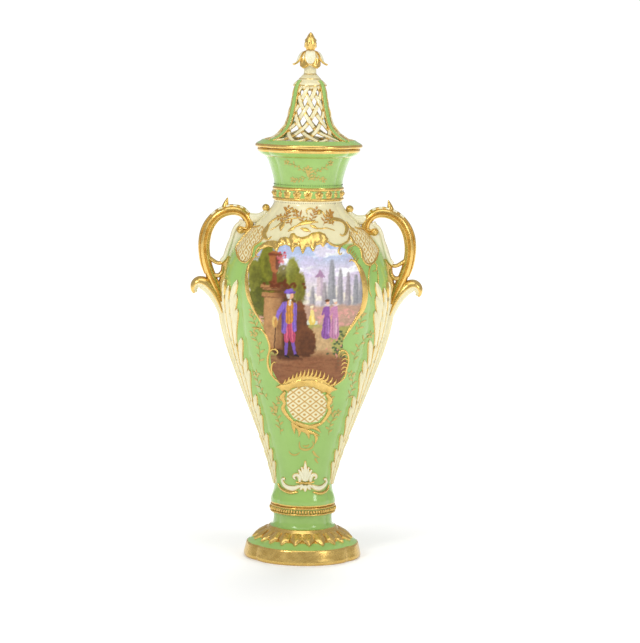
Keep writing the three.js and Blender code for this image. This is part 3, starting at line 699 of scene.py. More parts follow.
@dataclass
class Foot:
    """The spreading foot: gilt plinth, green slope, leaf band, waist and bead ring."""

    leaves: int = 22
    beads: int = 72
    ring_radius: float = 33.6
    columns: int = 216

    def build(self, finishes: Finishes) -> None:
        """Makes the foot and its ornaments."""
        self._casting().make(finishes.enamel, Node.FOOT, smooth=35)
        self._leaf_band().make(finishes.gold, Node.FOOT, smooth=60)
        self._bead_ring().make(finishes.gold, smooth=60)

    def _casting(self) -> Shape:
        """The turned casting, hollow below: gold from the ground up to the plinth's edge."""
        pairs, paint, gilt = joined([([(55.5, 0.6), (56.4, 0), (58.8, 0), (59.9, 0.6), (60.5, 1.8),
            (60.55, 3.2), (60.2, 4.6), (59.2, 9), (58.2, 13.4), (57.9, 14.4), (57.3, 15)], GREEN, 1),
            ([(56.4, 15.5), (54, 16.7), (51.4, 18.1), (48.6, 19.7)], GREEN, 0), ([(45.6, 21.4),
            (41.6, 24.4), (37.6, 28.4), (35.6, 30.6), (35.2, 31.3), (34.6, 31.8)], GREEN, 1), ([(33, 32.1),
            (31.8, 32.9), (31, 34.2), (30.4, 36.4), (30.15, 39.2), (30.1, 42), (30.4, 44.4), (30.9, 46.4),
            (30.9, 47)], GREEN, 0), ([(0.01, 47), (0.01, 45.6), (25.4, 45.2), (26, 40), (30, 30),
            (44, 15.6), (52.6, 10), (54.6, 4)], WHITE, 0)])
        shape = Shape("foot_shell")
        shape.ring(pairs, turned_about(self.columns), paint, gilt)
        return shape

    def _leaf_band(self) -> Shape:
        """Leaves that hang over the slope: heart-shaped, with three lobes and a point, domed across
        by a cosine and ridged along the middle."""
        shape = Shape("foot_leaves")
        run, u = np.linspace(0, 1, 19)[:, None], np.linspace(-1, 1, 11)
        width = np.interp(run, [0, 0.1, 0.3, 0.42, 0.52, 0.6, 0.7, 0.85, 1], [4.6, 5, 5.4, 5.9, 6, 5.2, 3.6,
            2.3, 0.3])
        radial = 38.2 + 13.4 * run
        drop = np.interp(radial, [34.6, 37.6, 41.6, 48.6, 52], [31.7, 28.9, 25.4, 20.6, 18.2])
        dome = 1.9 * np.sin(math.pi * np.clip(run * 0.9 + 0.08, 0, 1)) ** 0.6 + 0.5 * run
        ridge = 1 - 0.75 * np.abs(u) ** 1.6 - 0.25 * np.cos(3 * math.pi * u) * (run < 0.55) * 0.5
        lift = dome * ridge + 0.25
        for angle in turned_about(self.leaves) + math.pi / self.leaves:
            share, turn = plan(angle), angle + width * u / radial
            face = around((radial + 0.55 * lift) * share, turn, drop + 0.83 * lift)
            back = around((radial - 0.6) * share, turn, drop - 1.3)
            shape.slab(face[::-1], back[::-1], GOLD, 1)
        return shape

    def _bead_ring(self) -> Shape:
        """The ring of beads between two cords."""
        shape = Shape("foot_beads")
        turn, rise = turned_about(8), np.linspace(-0.5 * math.pi, 0.5 * math.pi, 7)[1:-1]
        ball = np.stack([np.cos(rise)[:, None] * np.cos(turn), np.cos(rise)[:, None] * np.sin(turn),
                         np.broadcast_to(np.sin(rise)[:, None], (5, 8))], -1)
        for angle in turned_about(self.beads):
            radius = self.ring_radius * float(plan(angle))
            out = np.array([math.sin(angle), -math.cos(angle), 0])
            side = np.array([math.cos(angle), math.sin(angle), 0])
            points = (out * (radius - 0.3) + (0, 0, 50.6) + side * ball[..., :1] * 1.3 + out * ball[...,
                1:2] * 1.5 + np.array([0, 0, 1]) * ball[..., 2:] * 2.1)
            shape.tube(points, GOLD, 1)
        for radius, level, thick in ((32.8, 47.4, 1.05), (32.6, 53.7, 0.95)):
            loop = turned_about(12)
            outline = np.stack([radius + thick * 1.15 * np.sin(loop), level - thick * np.cos(loop)], 1)
            shape.ring(outline, turned_about(160), GOLD, 1)
        return shape


@dataclass
class NeckBand:
    """The frieze below the neck: rosettes on green, with a dotted line above and below."""

    level: float = 376.3
    spaces: tuple[int, int] = (6, 4)

    def build(self, finishes: Finishes) -> None:
        """Makes the rosettes and the dots."""
        shape = Shape("neck_rosettes")
        for quarter in range(4):
            half = CREASE if quarter % 2 == 0 else math.pi / 2 - CREASE
            spaces = self.spaces[quarter % 2]
            for i in range(spaces):
                self._rosette(shape, quarter * math.pi / 2 - half + 2 * half * i / spaces)
        shape.make(finishes.gold, smooth=60)
        dots = Shape("neck_dots")
        wall = Wall(np.array([[35.4, 366], [35.3, 384], [35.5, 388]]))
        for level, count in ((367.6, 96), (385.6, 96)):
            for angle in turned_about(count):
                self._dot(dots, wall if level > 380 else BODY, angle, level)
        dots.make(finishes.enamel, smooth=80)

    def _rosette(self, shape: Shape, angle: float) -> None:
        """One rosette: its edge swings in and out five times round, and it rises to a bead."""
        turn, share = turned_about(30), np.linspace(1, 0.06, 7)
        reach = 4.3 * (1 + 0.09 * np.cos(5 * turn)) * share[:, None]
        height = (1.35 * (1 - share[:, None] ** 2) * (0.75 + 0.25 * np.cos(5 * turn))
                  + 0.7 * (share[:, None] < 0.3))
        radius = 35.5 * float(plan(angle))
        at, up = angle - reach * np.sin(turn) / radius, reach * np.cos(turn)
        lift = np.concatenate([np.full((1, 30), -0.5), height])
        at, up = (np.concatenate([v[:1], v]) for v in (at, up))
        shape.tube(around(radius + lift, at, self.level + up), GOLD, 1)

    def _dot(self, shape: Shape, wall: Wall, angle: float, level: float) -> None:
        """One dark dot, a low cone of six sides."""
        turn, share = turned_about(6), np.array([1, 1, 0.5])
        lift = np.array([-0.2, 0.05, 0.2])[:, None]
        radius = float(wall.radius(np.array(level)))
        points = wall.at(angle - 0.42 * share[:, None] * np.sin(turn) / radius,
                         level + 0.42 * share[:, None] * np.cos(turn), lift)
        shape.tube(points, Paint.BLACK.linear, 0)


# --- the painted front


@dataclass
class Canvas:
    """A painted patch: where its points are drawn, in millimetres, and their colour so far."""

    across: Array
    level: Array
    colour: Array

    def lay(self, share: Array, colour: Colour | Array, strength: float = 1) -> None:
        """Paints over the share of each point that is given."""
        share = np.clip(share * strength, 0, 1)[..., None]
        self.colour = self.colour * (1 - share) + np.asarray(colour) * share

    def moved(self, start: Pair, end: Pair, size: float, draw: Callable[["Canvas"], None]) -> None:
        """Lets draw paint so that its point start comes to end, with its lengths times size."""
        sheet = Canvas((self.across - end[0]) / size + start[0], (self.level - end[1]) / size + start[1],
                       self.colour)
        draw(sheet)
        self.colour = sheet.colour

    def limb(self, start: Pair, end: Pair, wide: float, narrow: float, soft: float = 0.5) -> Array:
        """Share of a tapering bar with round ends: 1 inside, 0 beyond a soft edge."""
        (ax, az), (bx, bz) = start, end
        length = max((bx - ax) ** 2 + (bz - az) ** 2, 1e-6)
        t = np.clip(((self.across - ax) * (bx - ax) + (self.level - az) * (bz - az)) / length, 0, 1)
        gap = np.hypot(self.across - ax - t * (bx - ax), self.level - az - t * (bz - az))
        return np.clip((wide + (narrow - wide) * t - gap) / soft + 0.5, 0, 1)

    def ball(self, at: Pair, wide: float, high: float, soft: float = 0.5, ragged: float = 0,
             seed: int = 1) -> Array:
        """Share of an oval with a soft and, if asked, ragged edge."""
        off = np.hypot((self.across - at[0]) / wide, (self.level - at[1]) / high)
        off = off + ragged * (mottle(self.across, self.level, 3, seed) - 0.5)
        return np.clip((1 - off) * min(wide, high) / soft + 0.5, 0, 1)

    def box(self, low: Pair, high: Pair, soft: float = 0.5) -> Array:
        """Share of an upright rectangle with soft edges."""
        inside = np.minimum.reduce([self.across - low[0], high[0] - self.across,
                                    self.level - low[1], high[1] - self.level])
        return np.clip(inside / soft + 0.5, 0, 1)

    def below(self, line: Array | float, soft: float = 1) -> Array:
        """Share of what lies under a line."""
        return np.clip((line - self.level) / soft + 0.5, 0, 1)

    def bar(self, start: Pair, end: Pair, wide: float, narrow: float, colour: Colour,
            strength: float = 1, soft: float = 0.5) -> None:
        """Paints a limb."""
        self.lay(self.limb(start, end, wide, narrow, soft), colour, strength)

    def oval(self, at: Pair, wide: float, high: float, colour: Colour, strength: float = 1,
             soft: float = 0.5) -> None:
        """Paints a ball."""
        self.lay(self.ball(at, wide, high, soft), colour, strength)

    def block(self, low: Pair, high: Pair, colour: Colour, strength: float = 1, soft: float = 0.5) -> None:
        """Paints a box."""
        self.lay(self.box(low, high, soft), colour, strength)


@dataclass
class Picture:
    """The painted garden scene on the front, an invented one in broad soft areas."""

    size: tuple[int, int] = (190, 160)
    lift: float = 0.35
    name: str = "painted_picture"
    facing: float = FRONT
    left: tuple[Pair, ...] = ((-24.5, 186.5), (-29.5, 194.5), (-33, 202), (-34.6, 210), (-35.2, 219),
        (-35.2, 226), (-37.2, 233), (-41, 241), (-45, 249), (-51, 259), (-56, 269), (-58.6, 280),
        (-59.2, 290), (-58.2, 300), (-55, 309.5), (-50.5, 317.5), (-43, 324.5))
    right: tuple[Pair, ...] = ((28.6, 184.5), (34.5, 190), (39.5, 197), (41.6, 205), (41.2, 213),
        (38.6, 221), (37.2, 229), (39.2, 237), (43.6, 244), (49.6, 253), (54.6, 262), (57.2, 272),
        (57.6, 284), (56, 296), (52, 306), (47, 314), (40, 323))
    bottom: tuple[Pair, ...] = ((-24.5, 186.5), (-12, 190), (1, 191.6), (14, 190), (28.6, 184.5))
    top: tuple[Pair, ...] = ((-43, 324.5), (-28, 329), (-8, 331), (12, 331), (28, 328.6), (40, 323))

    def build(self, finishes: Finishes) -> None:
        """Makes the painted patch."""
        drawn = plate(self.left, self.right, self.bottom, self.top, self.size)
        shape = Shape(self.name)
        at = BODY.seen(drawn, self.facing)
        shape.slab(BODY.at(at[..., 0], at[..., 1], self.lift), BODY.at(at[..., 0], at[..., 1], -1),
                   linear(self.paint(drawn)))
        shape.make(finishes.picture, smooth=60)

    def paint(self, drawn: Array) -> Array:
        """Colours of the scene, as seen on a screen, laid from the far sky to the near ground."""
        shaky = [1.5 * (mottle(drawn[..., 0], drawn[..., 1], 2.6, seed) - 0.5) for seed in (91, 92)]
        canvas = Canvas(drawn[..., 0] + shaky[0], drawn[..., 1] + shaky[1], np.zeros((*drawn.shape[:2], 3)))
        self._sky(canvas)
        canvas.moved((0, 262), (0, 279), 1, self._distance)
        canvas.moved((10, 231), (4, 249), 1.5, self._garden)
        canvas.moved((0, 200), (4, 220), 1, self._terrace)
        ground = canvas.below(214 + 4 * mottle(canvas.across, canvas.level, 7, 15), 2.5)
        canvas.lay(ground, (0.60, 0.41, 0.28), 0.7)
        canvas.lay(ground * eased((mottle(canvas.across * 0.5, canvas.level * 3, 4, 16) - 0.45) / 0.2),
                   (0.48, 0.29, 0.19), 0.5)
        canvas.moved((0, -5), (20.5, 235), 1.05, self._couple)
        canvas.moved((0, -3.5), (6, 250), 0.9, self._child)
        canvas.moved((0, 0), (-17, 217), 1.08, self._gardener)
        brushed = mottle(canvas.across * 0.9 + canvas.level * 0.3, canvas.level * 2.2, 2.4, 41)
        dabs = mottle(canvas.across * 1.5, canvas.level * 1.1, 1.7, 43, 2)
        return np.clip(canvas.colour * (0.86 + 0.14 * brushed + 0.14 * dabs)[..., None], 0, 1)

    @staticmethod
    def _sky(canvas: Canvas) -> None:
        """Blue above, lilac and pale yellow low down, with white clouds."""
        rise = np.clip((canvas.level - 280) / 48, 0, 1)[..., None]
        canvas.colour = np.array((0.93, 0.89, 0.82)) * (1 - rise) + np.array((0.66, 0.74, 0.90)) * rise
        haze = np.exp(-((canvas.level - 300) / 12) ** 2)
        canvas.lay(haze, (0.84, 0.76, 0.86), 0.7)
        cloud = mottle(canvas.across, canvas.level * 1.9, 17, 7, 4)
        canvas.lay(eased((cloud - 0.50) / 0.14) * (canvas.level > 298), (0.95, 0.95, 0.96), 0.95)
        lilac = mottle(canvas.across, canvas.level * 1.6, 12, 8)
        canvas.lay(eased((lilac - 0.55) / 0.1), (0.80, 0.75, 0.87), 0.5)

    @staticmethod
    def _distance(canvas: Canvas) -> None:
        """A far roofed tower, and a row of tall grey-violet trees that thin upwards."""
        canvas.block((10, 262), (16.4, 281), (0.82, 0.74, 0.76))
        canvas.block((13.8, 262), (16.4, 281), (0.70, 0.62, 0.69), 0.7)
        roof = np.clip((288.5 - canvas.level) * 0.72 - np.abs(canvas.across - 13.2), 0, 1)
        canvas.lay(roof * (canvas.level > 280.5), (0.66, 0.52, 0.64))
        canvas.bar((-3, 262), (-3, 278), 1.8, 0.1, (0.78, 0.66, 0.74))
        for k, (x, top, wide) in enumerate(((25, 297, 5), (33.5, 289, 3.6), (41.5, 286, 3.4),
                                            (49.5, 283, 3.8), (6, 272, 3.6), (18, 276, 4),
                                            (55, 290, 3))):
            tree = canvas.limb((x, 236), (x, top - 2), wide + 1.2, wide * 0.4, 1.6)
            tree = tree * (0.72 + 0.5 * mottle(canvas.across, canvas.level * 0.4, 2.2, 50 + k))
            canvas.lay(tree, (0.58 + 0.02 * (k % 3), 0.58, 0.60), 0.95)
            canvas.bar((x + wide * 0.5, 238), (x + wide * 0.3, top - 6), wide * 0.4, 0.4,
                       (0.48, 0.48, 0.50), 0.55, 1.2)
        mist = np.exp(-((canvas.level - 245) / 9) ** 2) * (canvas.across > -14)
        canvas.lay(mist, (0.70, 0.68, 0.72), 0.6)

    @staticmethod
    def _garden(canvas: Canvas) -> None:
        """A low flowering hedge, a lawn, and a path that winds from the front to the hedge."""
        x, z = canvas.across, canvas.level
        hedge = canvas.below(243 + 3 * mottle(x, z, 5, 9), 2)
        canvas.lay(hedge, (0.74, 0.60, 0.52))
        bloom = eased((mottle(x, z, 2.6, 12) - 0.55) / 0.08) * canvas.below(242) * (z > 229)
        canvas.lay(bloom, (0.86, 0.62, 0.58), 0.8)
        canvas.lay(canvas.below(231 + 1.2 * np.sin(x / 6), 1.6), (0.66, 0.64, 0.36))
        tufts = eased((mottle(x, z * 2, 4, 13) - 0.5) / 0.2)
        canvas.lay(tufts * canvas.below(230), (0.54, 0.56, 0.27), 0.5)
        middle = 2 + 14 * np.sin((z - 196) / 20)
        path = np.clip((4 + (232 - z) * 0.52 - np.abs(x - middle)) / 2.5, 0, 1) * canvas.below(230, 2)
        canvas.lay(path, (0.80, 0.68, 0.50))
        canvas.lay(path * mottle(x, z * 3, 5, 14), (0.66, 0.50, 0.34), 0.6)
        ground = canvas.below(208 + 3 * np.sin(x / 11), 7)
        canvas.lay(ground, (0.56, 0.36, 0.23))
        canvas.lay(ground * mottle(x, z * 2.4, 6, 15), (0.38, 0.22, 0.13), 0.75)

    @staticmethod
    def _terrace(canvas: Canvas) -> None:
        """Dark trees on the left with a stone pier and a vase of flowers before them, and leaves
        that spill down to the ground."""
        x, z = canvas.across, canvas.level
        for k, (at, wide, high, tone) in enumerate((
                ((-46, 266), 16, 31, (0.42, 0.43, 0.13)), ((-43, 290), 8, 17, (0.50, 0.50, 0.17)),
                ((-28, 262), 12, 24, (0.44, 0.40, 0.13)), ((-18, 280), 7, 16, (0.55, 0.55, 0.20)),
                ((-11, 266), 6, 15, (0.50, 0.48, 0.18)), ((-56, 278), 7, 15, (0.52, 0.52, 0.20)),
                ((-28, 236), 15, 30, (0.40, 0.27, 0.12)), ((-12, 232), 9, 22, (0.45, 0.26, 0.15)),
                ((-22, 208), 17, 15, (0.36, 0.22, 0.12)), ((-5, 212), 11, 17, (0.44, 0.26, 0.15)))):
            canvas.lay(canvas.ball(at, wide, high, 1.6, 0.45, 20 + k), tone)
            dark = canvas.ball((at[0] + 2, at[1] - 4), wide * 0.8, high * 0.8, 2, 0.8, 30 + k)
            canvas.lay(dark * mottle(x, z, 2.6, 60 + k), tuple(0.62 * c for c in tone), 0.8)
        stone, shade = (0.68, 0.49, 0.31), (0.36, 0.20, 0.12)
        for low, high in (((-46, 203), (-27, 259)), ((-48.5, 256), (-24.5, 261)),
                          ((-47.5, 263), (-25.5, 266.5)), ((-50, 265), (-23, 268.6))):
            canvas.block(low, high, stone, soft=0.8)
            canvas.lay(canvas.box(low, high, 0.8) * eased((x + 40) / 15), shade, 0.85)
            canvas.block(low, (high[0], low[1] + 0.8), shade, 0.8)
        canvas.lay(canvas.box((-45, 206), (-28, 257), 3) * mottle(x, z * 0.6, 4, 77), (0.82, 0.66, 0.44),
                   0.5)
        canvas.bar((-36, 269), (-36, 281), 3.2, 1.6, (0.50, 0.27, 0.16))
        canvas.bar((-36, 284), (-36, 296), 3.4, 6, (0.66, 0.40, 0.22))
        canvas.bar((-33.5, 285), (-32.4, 296), 1.4, 2.8, (0.36, 0.18, 0.11), 0.8)
        canvas.block((-43, 297), (-29, 299.5), (0.48, 0.26, 0.16), soft=0.6)
        rng = np.random.default_rng(5)
        for at, tone in zip(rng.normal((-28.5, 295.5), (2.6, 3), (22, 2)), rng.random(22)):
            canvas.oval(at, 1.1, 1, (0.80, 0.20 + 0.4 * tone, 0.26 + 0.3 * tone), 0.9, 0.8)
        for middle, spread, count, leaf in (
                ((-26, 270), (11, 2), 34, (1.6, 1.3, (0.40, 0.20, 0.10), 0.8, 0.8)),
                ((29, 205), (4.6, 9.5), 40, (1.3, 1, (0.24, 0.33, 0.22), 0.85, 0.6)),
                ((28, 204), (5, 8.5), 14, (0.9, 0.9, (0.85, 0.55, 0.50), 0.9, 0.6))):
            for at in rng.normal(middle, spread, (count, 2)):
                canvas.oval(at, *leaf)

    @staticmethod
    def _gardener(canvas: Canvas) -> None:
        """A standing figure in a violet coat and crimson breeches, with a straw hat and a stick."""
        coat, crimson, skin, hose = ((0.52, 0.40, 0.76), (0.74, 0.28, 0.40), (0.88, 0.66, 0.52),
            (0.46, 0.33, 0.66))
        canvas.bar((-8, -2), (12, -2.5), 1.6, 1, (0.28, 0.15, 0.09), 0.7, 2)
        for foot, knee, hip in (((-2.5, 0), (-2, 15), (-1.2, 31)), ((6.5, 1), (3.6, 15.5), (2.4, 31))):
            canvas.bar(foot, knee, 1, 1.8, hose)
            canvas.bar(knee, hip, 2.3, 3.9, crimson)
            canvas.bar(knee, hip, 0.8, 1.4, (0.90, 0.52, 0.58), 0.45, 1.2)
            canvas.bar(foot, (foot[0] + 3, foot[1] - 1.2), 1.1, 0.7, (0.12, 0.09, 0.12))
        for limb in (((-4.6, 23), (-2.6, 48), 2.2, 3.6, coat), ((5.4, 25), (3.8, 48), 1.7, 3.2, coat),
                     ((0.4, 34), (0.8, 50), 3.5, 3.3, (0.82, 0.56, 0.22)),
                     ((-5.8, 25), (-5, 46), 0.8, 1.2, (0.34, 0.24, 0.58), 0.8),
                     ((0.6, 49), (1.2, 53), 1.4, 1, (0.93, 0.92, 0.88)),
                     ((-4.6, 49), (-9.4, 41), 2.3, 1.8, coat), ((-9.4, 41), (-11.6, 34), 1.8, 1.4, coat),
                     ((-11.8, 33), (-12.2, 31.4), 1.1, 1, skin),
                     ((-12.2, 32), (-13.4, 3), 0.45, 0.35, (0.25, 0.16, 0.10))):
            canvas.bar(*limb)
        canvas.oval((-13, 32), 2.6, 5.4, (0.88, 0.74, 0.42), soft=0.8)
        canvas.oval((-12.2, 31.4), 1.3, 4.2, (0.70, 0.46, 0.24), 0.7, 0.8)
        folds = np.clip(np.sin(canvas.across * 2.6 + canvas.level * 0.12), 0, 1)
        canvas.lay(folds * canvas.limb((0.6, 22), (0.4, 48), 7.4, 6.6, 1.5), (0.30, 0.16, 0.28), 0.32)
        canvas.oval((1.2, 57.2), 2.5, 3.2, skin)
        canvas.oval((-0.8, 57.6), 1.6, 3.2, (0.82, 0.80, 0.80))
        canvas.bar((-3.4, 60.2), (4.4, 60.4), 1.4, 1, (0.40, 0.28, 0.62))
        canvas.bar((-1.4, 61.4), (2.2, 62.2), 1.9, 1.3, coat)

    @staticmethod
    def _couple(canvas: Canvas) -> None:
        """Two figures in long gowns, side by side."""
        for x, gown, light, hair in ((0, (0.55, 0.34, 0.62), (0.72, 0.54, 0.78), (0.42, 0.27, 0.18)),
                                     (7.6, (0.76, 0.52, 0.66), (0.90, 0.76, 0.82), (0.86, 0.84, 0.82))):
            canvas.bar((x, 0), (x + 0.4, 18), 5, 2.6, gown)
            canvas.bar((x + 1.4, 1), (x + 1, 17), 1.5, 0.8, light, 0.75, 1.5)
            folds = np.clip(np.sin((canvas.across - x) * 2.4), 0, 1)
            canvas.lay(folds * canvas.limb((x, 0), (x + 0.4, 18), 4.6, 2.2),
                       tuple(0.62 * c for c in gown), 0.5)
            canvas.bar((x + 0.3, 18), (x + 0.4, 25), 2.6, 2.7, gown)
            canvas.bar((x - 2.4, 25), (x - 4, 19), 1.1, 0.9, gown)
            canvas.oval((x + 0.4, 28.4), 2.9, 1.2, (0.92, 0.86, 0.84), 0.7)
            canvas.oval((x + 0.6, 31.2), 1.8, 2.2, (0.90, 0.70, 0.58))
            canvas.oval((x + 0.1, 32.6), 2.1, 1.6, hair)

    @staticmethod
    def _child(canvas: Canvas) -> None:
        """A small seated figure in yellow, by a pale plinth."""
        canvas.block((-5.5, -3.5), (6, 1), (0.80, 0.84, 0.80), 0.9)
        canvas.bar((0, 0), (0, 7), 3.9, 2.4, (0.90, 0.78, 0.38))
        canvas.bar((1, 0), (0.6, 7), 1.3, 0.9, (0.96, 0.90, 0.62), 0.8)
        canvas.bar((0, 8), (0, 12), 2.2, 1.8, (0.92, 0.84, 0.52))
        canvas.oval((0, 15.4), 1.6, 1.9, (0.90, 0.72, 0.60))
        canvas.oval((-0.2, 16.8), 2, 1.2, (0.90, 0.86, 0.70))


@dataclass
class Bouquet(Picture):
    """The plainer back: a cream reserve with a loose bunch of painted garden flowers."""

    size: tuple[int, int] = (130, 110)
    name: str = "painted_bouquet"
    facing: float = BACK
    middle: Pair = (0, 262)

    def paint(self, drawn: Array) -> Array:
        """Colours of the bunch, as seen on a screen: stems and leaves, then round blossoms on a
        spiral, each darker in rings towards its heart."""
        canvas = Canvas(drawn[..., 0], drawn[..., 1], np.zeros((*drawn.shape[:2], 3)) + (0.95, 0.925, 0.81))
        rng = np.random.default_rng(23)
        middle = np.array(self.middle)
        for k in range(26):
            aim = k * 2.4 + rng.uniform(-0.3, 0.3)
            tip = middle + rng.uniform(17, 33) * np.array((math.cos(aim), 1.25 * math.sin(aim)))
            bend = middle * 0.45 + tip * 0.55 + rng.uniform(-3, 3, 2)
            tone = np.array((0.36, 0.50, 0.20)) + rng.uniform(-0.04, 0.14)
            canvas.bar(middle, bend, 0.5, 0.4, tone * 0.9, soft=0.6)
            canvas.bar(bend, tip, 3, 0.3, tone, soft=0.8)
            canvas.bar(bend, tip, 0.7, 0.1, tone * 1.3, 0.7, 0.6)
        for k in range(34):
            aim, reach = k * 2.4, 31 - 5.3 * math.sqrt(k)
            at = middle + reach * np.array((math.cos(aim), 1.15 * math.sin(aim)))
            size = 3 + 0.13 * k
            tone = np.array(((0.87, 0.56, 0.60), (0.95, 0.86, 0.60), (0.70, 0.60, 0.82),
                (0.93, 0.78, 0.74))[k % 4])
            canvas.oval(at, size, size * 0.92, tone, soft=0.9)
            for ring in range(1, 4):
                heart = at + rng.uniform(-0.5, 0.5, 2)
                away = np.hypot(canvas.across - heart[0], canvas.level - heart[1]) - size * ring / 4.2
                turn = np.arctan2(canvas.level - heart[1], canvas.across - heart[0])
                fold = np.exp(-(away / 0.45) ** 2) * (0.6 + 0.4 * np.cos(3 * turn + ring * 2 + k))
                canvas.lay(fold, tone * (0.72, 0.6, 0.66), 0.8)
            canvas.oval(at + (-0.3 * size, 0.35 * size), size * 0.35, size * 0.3, tone * 1.12, 0.7, 1.4)
        brushed = mottle(canvas.across, canvas.level * 1.8, 2.4, 42)
        return np.clip(canvas.colour * (0.95 + 0.1 * brushed)[..., None], 0, 1)


@dataclass
class NetPanel:
    """A cream patch with a gold net: slanting lines, and a dot in every diamond."""

    name: str
    left: tuple[Pair, ...]
    right: tuple[Pair, ...]
    bottom: tuple[Pair, ...]
    top: tuple[Pair, ...]
    pitch: Pair = (5.4, 6.6)
    size: tuple[int, int] = (72, 64)
    lift: float = 0.3

    def build(self, finishes: Finishes, mirrors: tuple[float, ...] = (1,),
              facings: tuple[float, ...] = (FRONT, BACK)) -> None:
        """Makes the patch on each side that it is on."""
        shape = Shape(self.name)
        drawn = plate(self.left, self.right, self.bottom, self.top, self.size)
        for facing in facings:
            for mirror in mirrors:
                flat = drawn * (mirror, 1)
                flat = flat[:, ::-1] if mirror < 0 else flat
                at = BODY.seen(flat, facing)
                along = (at[..., 0] - facing) * BODY.radius(at[..., 1])
                share = self.net(along, at[..., 1])[..., None]
                shape.slab(BODY.at(at[..., 0], at[..., 1], self.lift), BODY.at(at[..., 0], at[..., 1], -1),
                           CREAM * (1 - share) + Paint.STRAW.linear * share)
        shape.make(finishes.enamel, smooth=60)

    def net(self, along: Array, level: Array) -> Array:
        """Share of gold: near either set of slanting lines, or in a dot at a diamond's middle."""
        u, v = along / self.pitch[0], level / self.pitch[1]
        p, q = u + v, u - v
        line = np.minimum(np.abs(p - np.round(p)), np.abs(q - np.round(q)))
        dot = np.hypot(p - np.floor(p) - 0.5, q - np.floor(q) - 0.5)
        return np.clip(np.maximum((0.09 - line) / 0.05, (0.19 - dot) / 0.06) + 0.5, 0, 1)


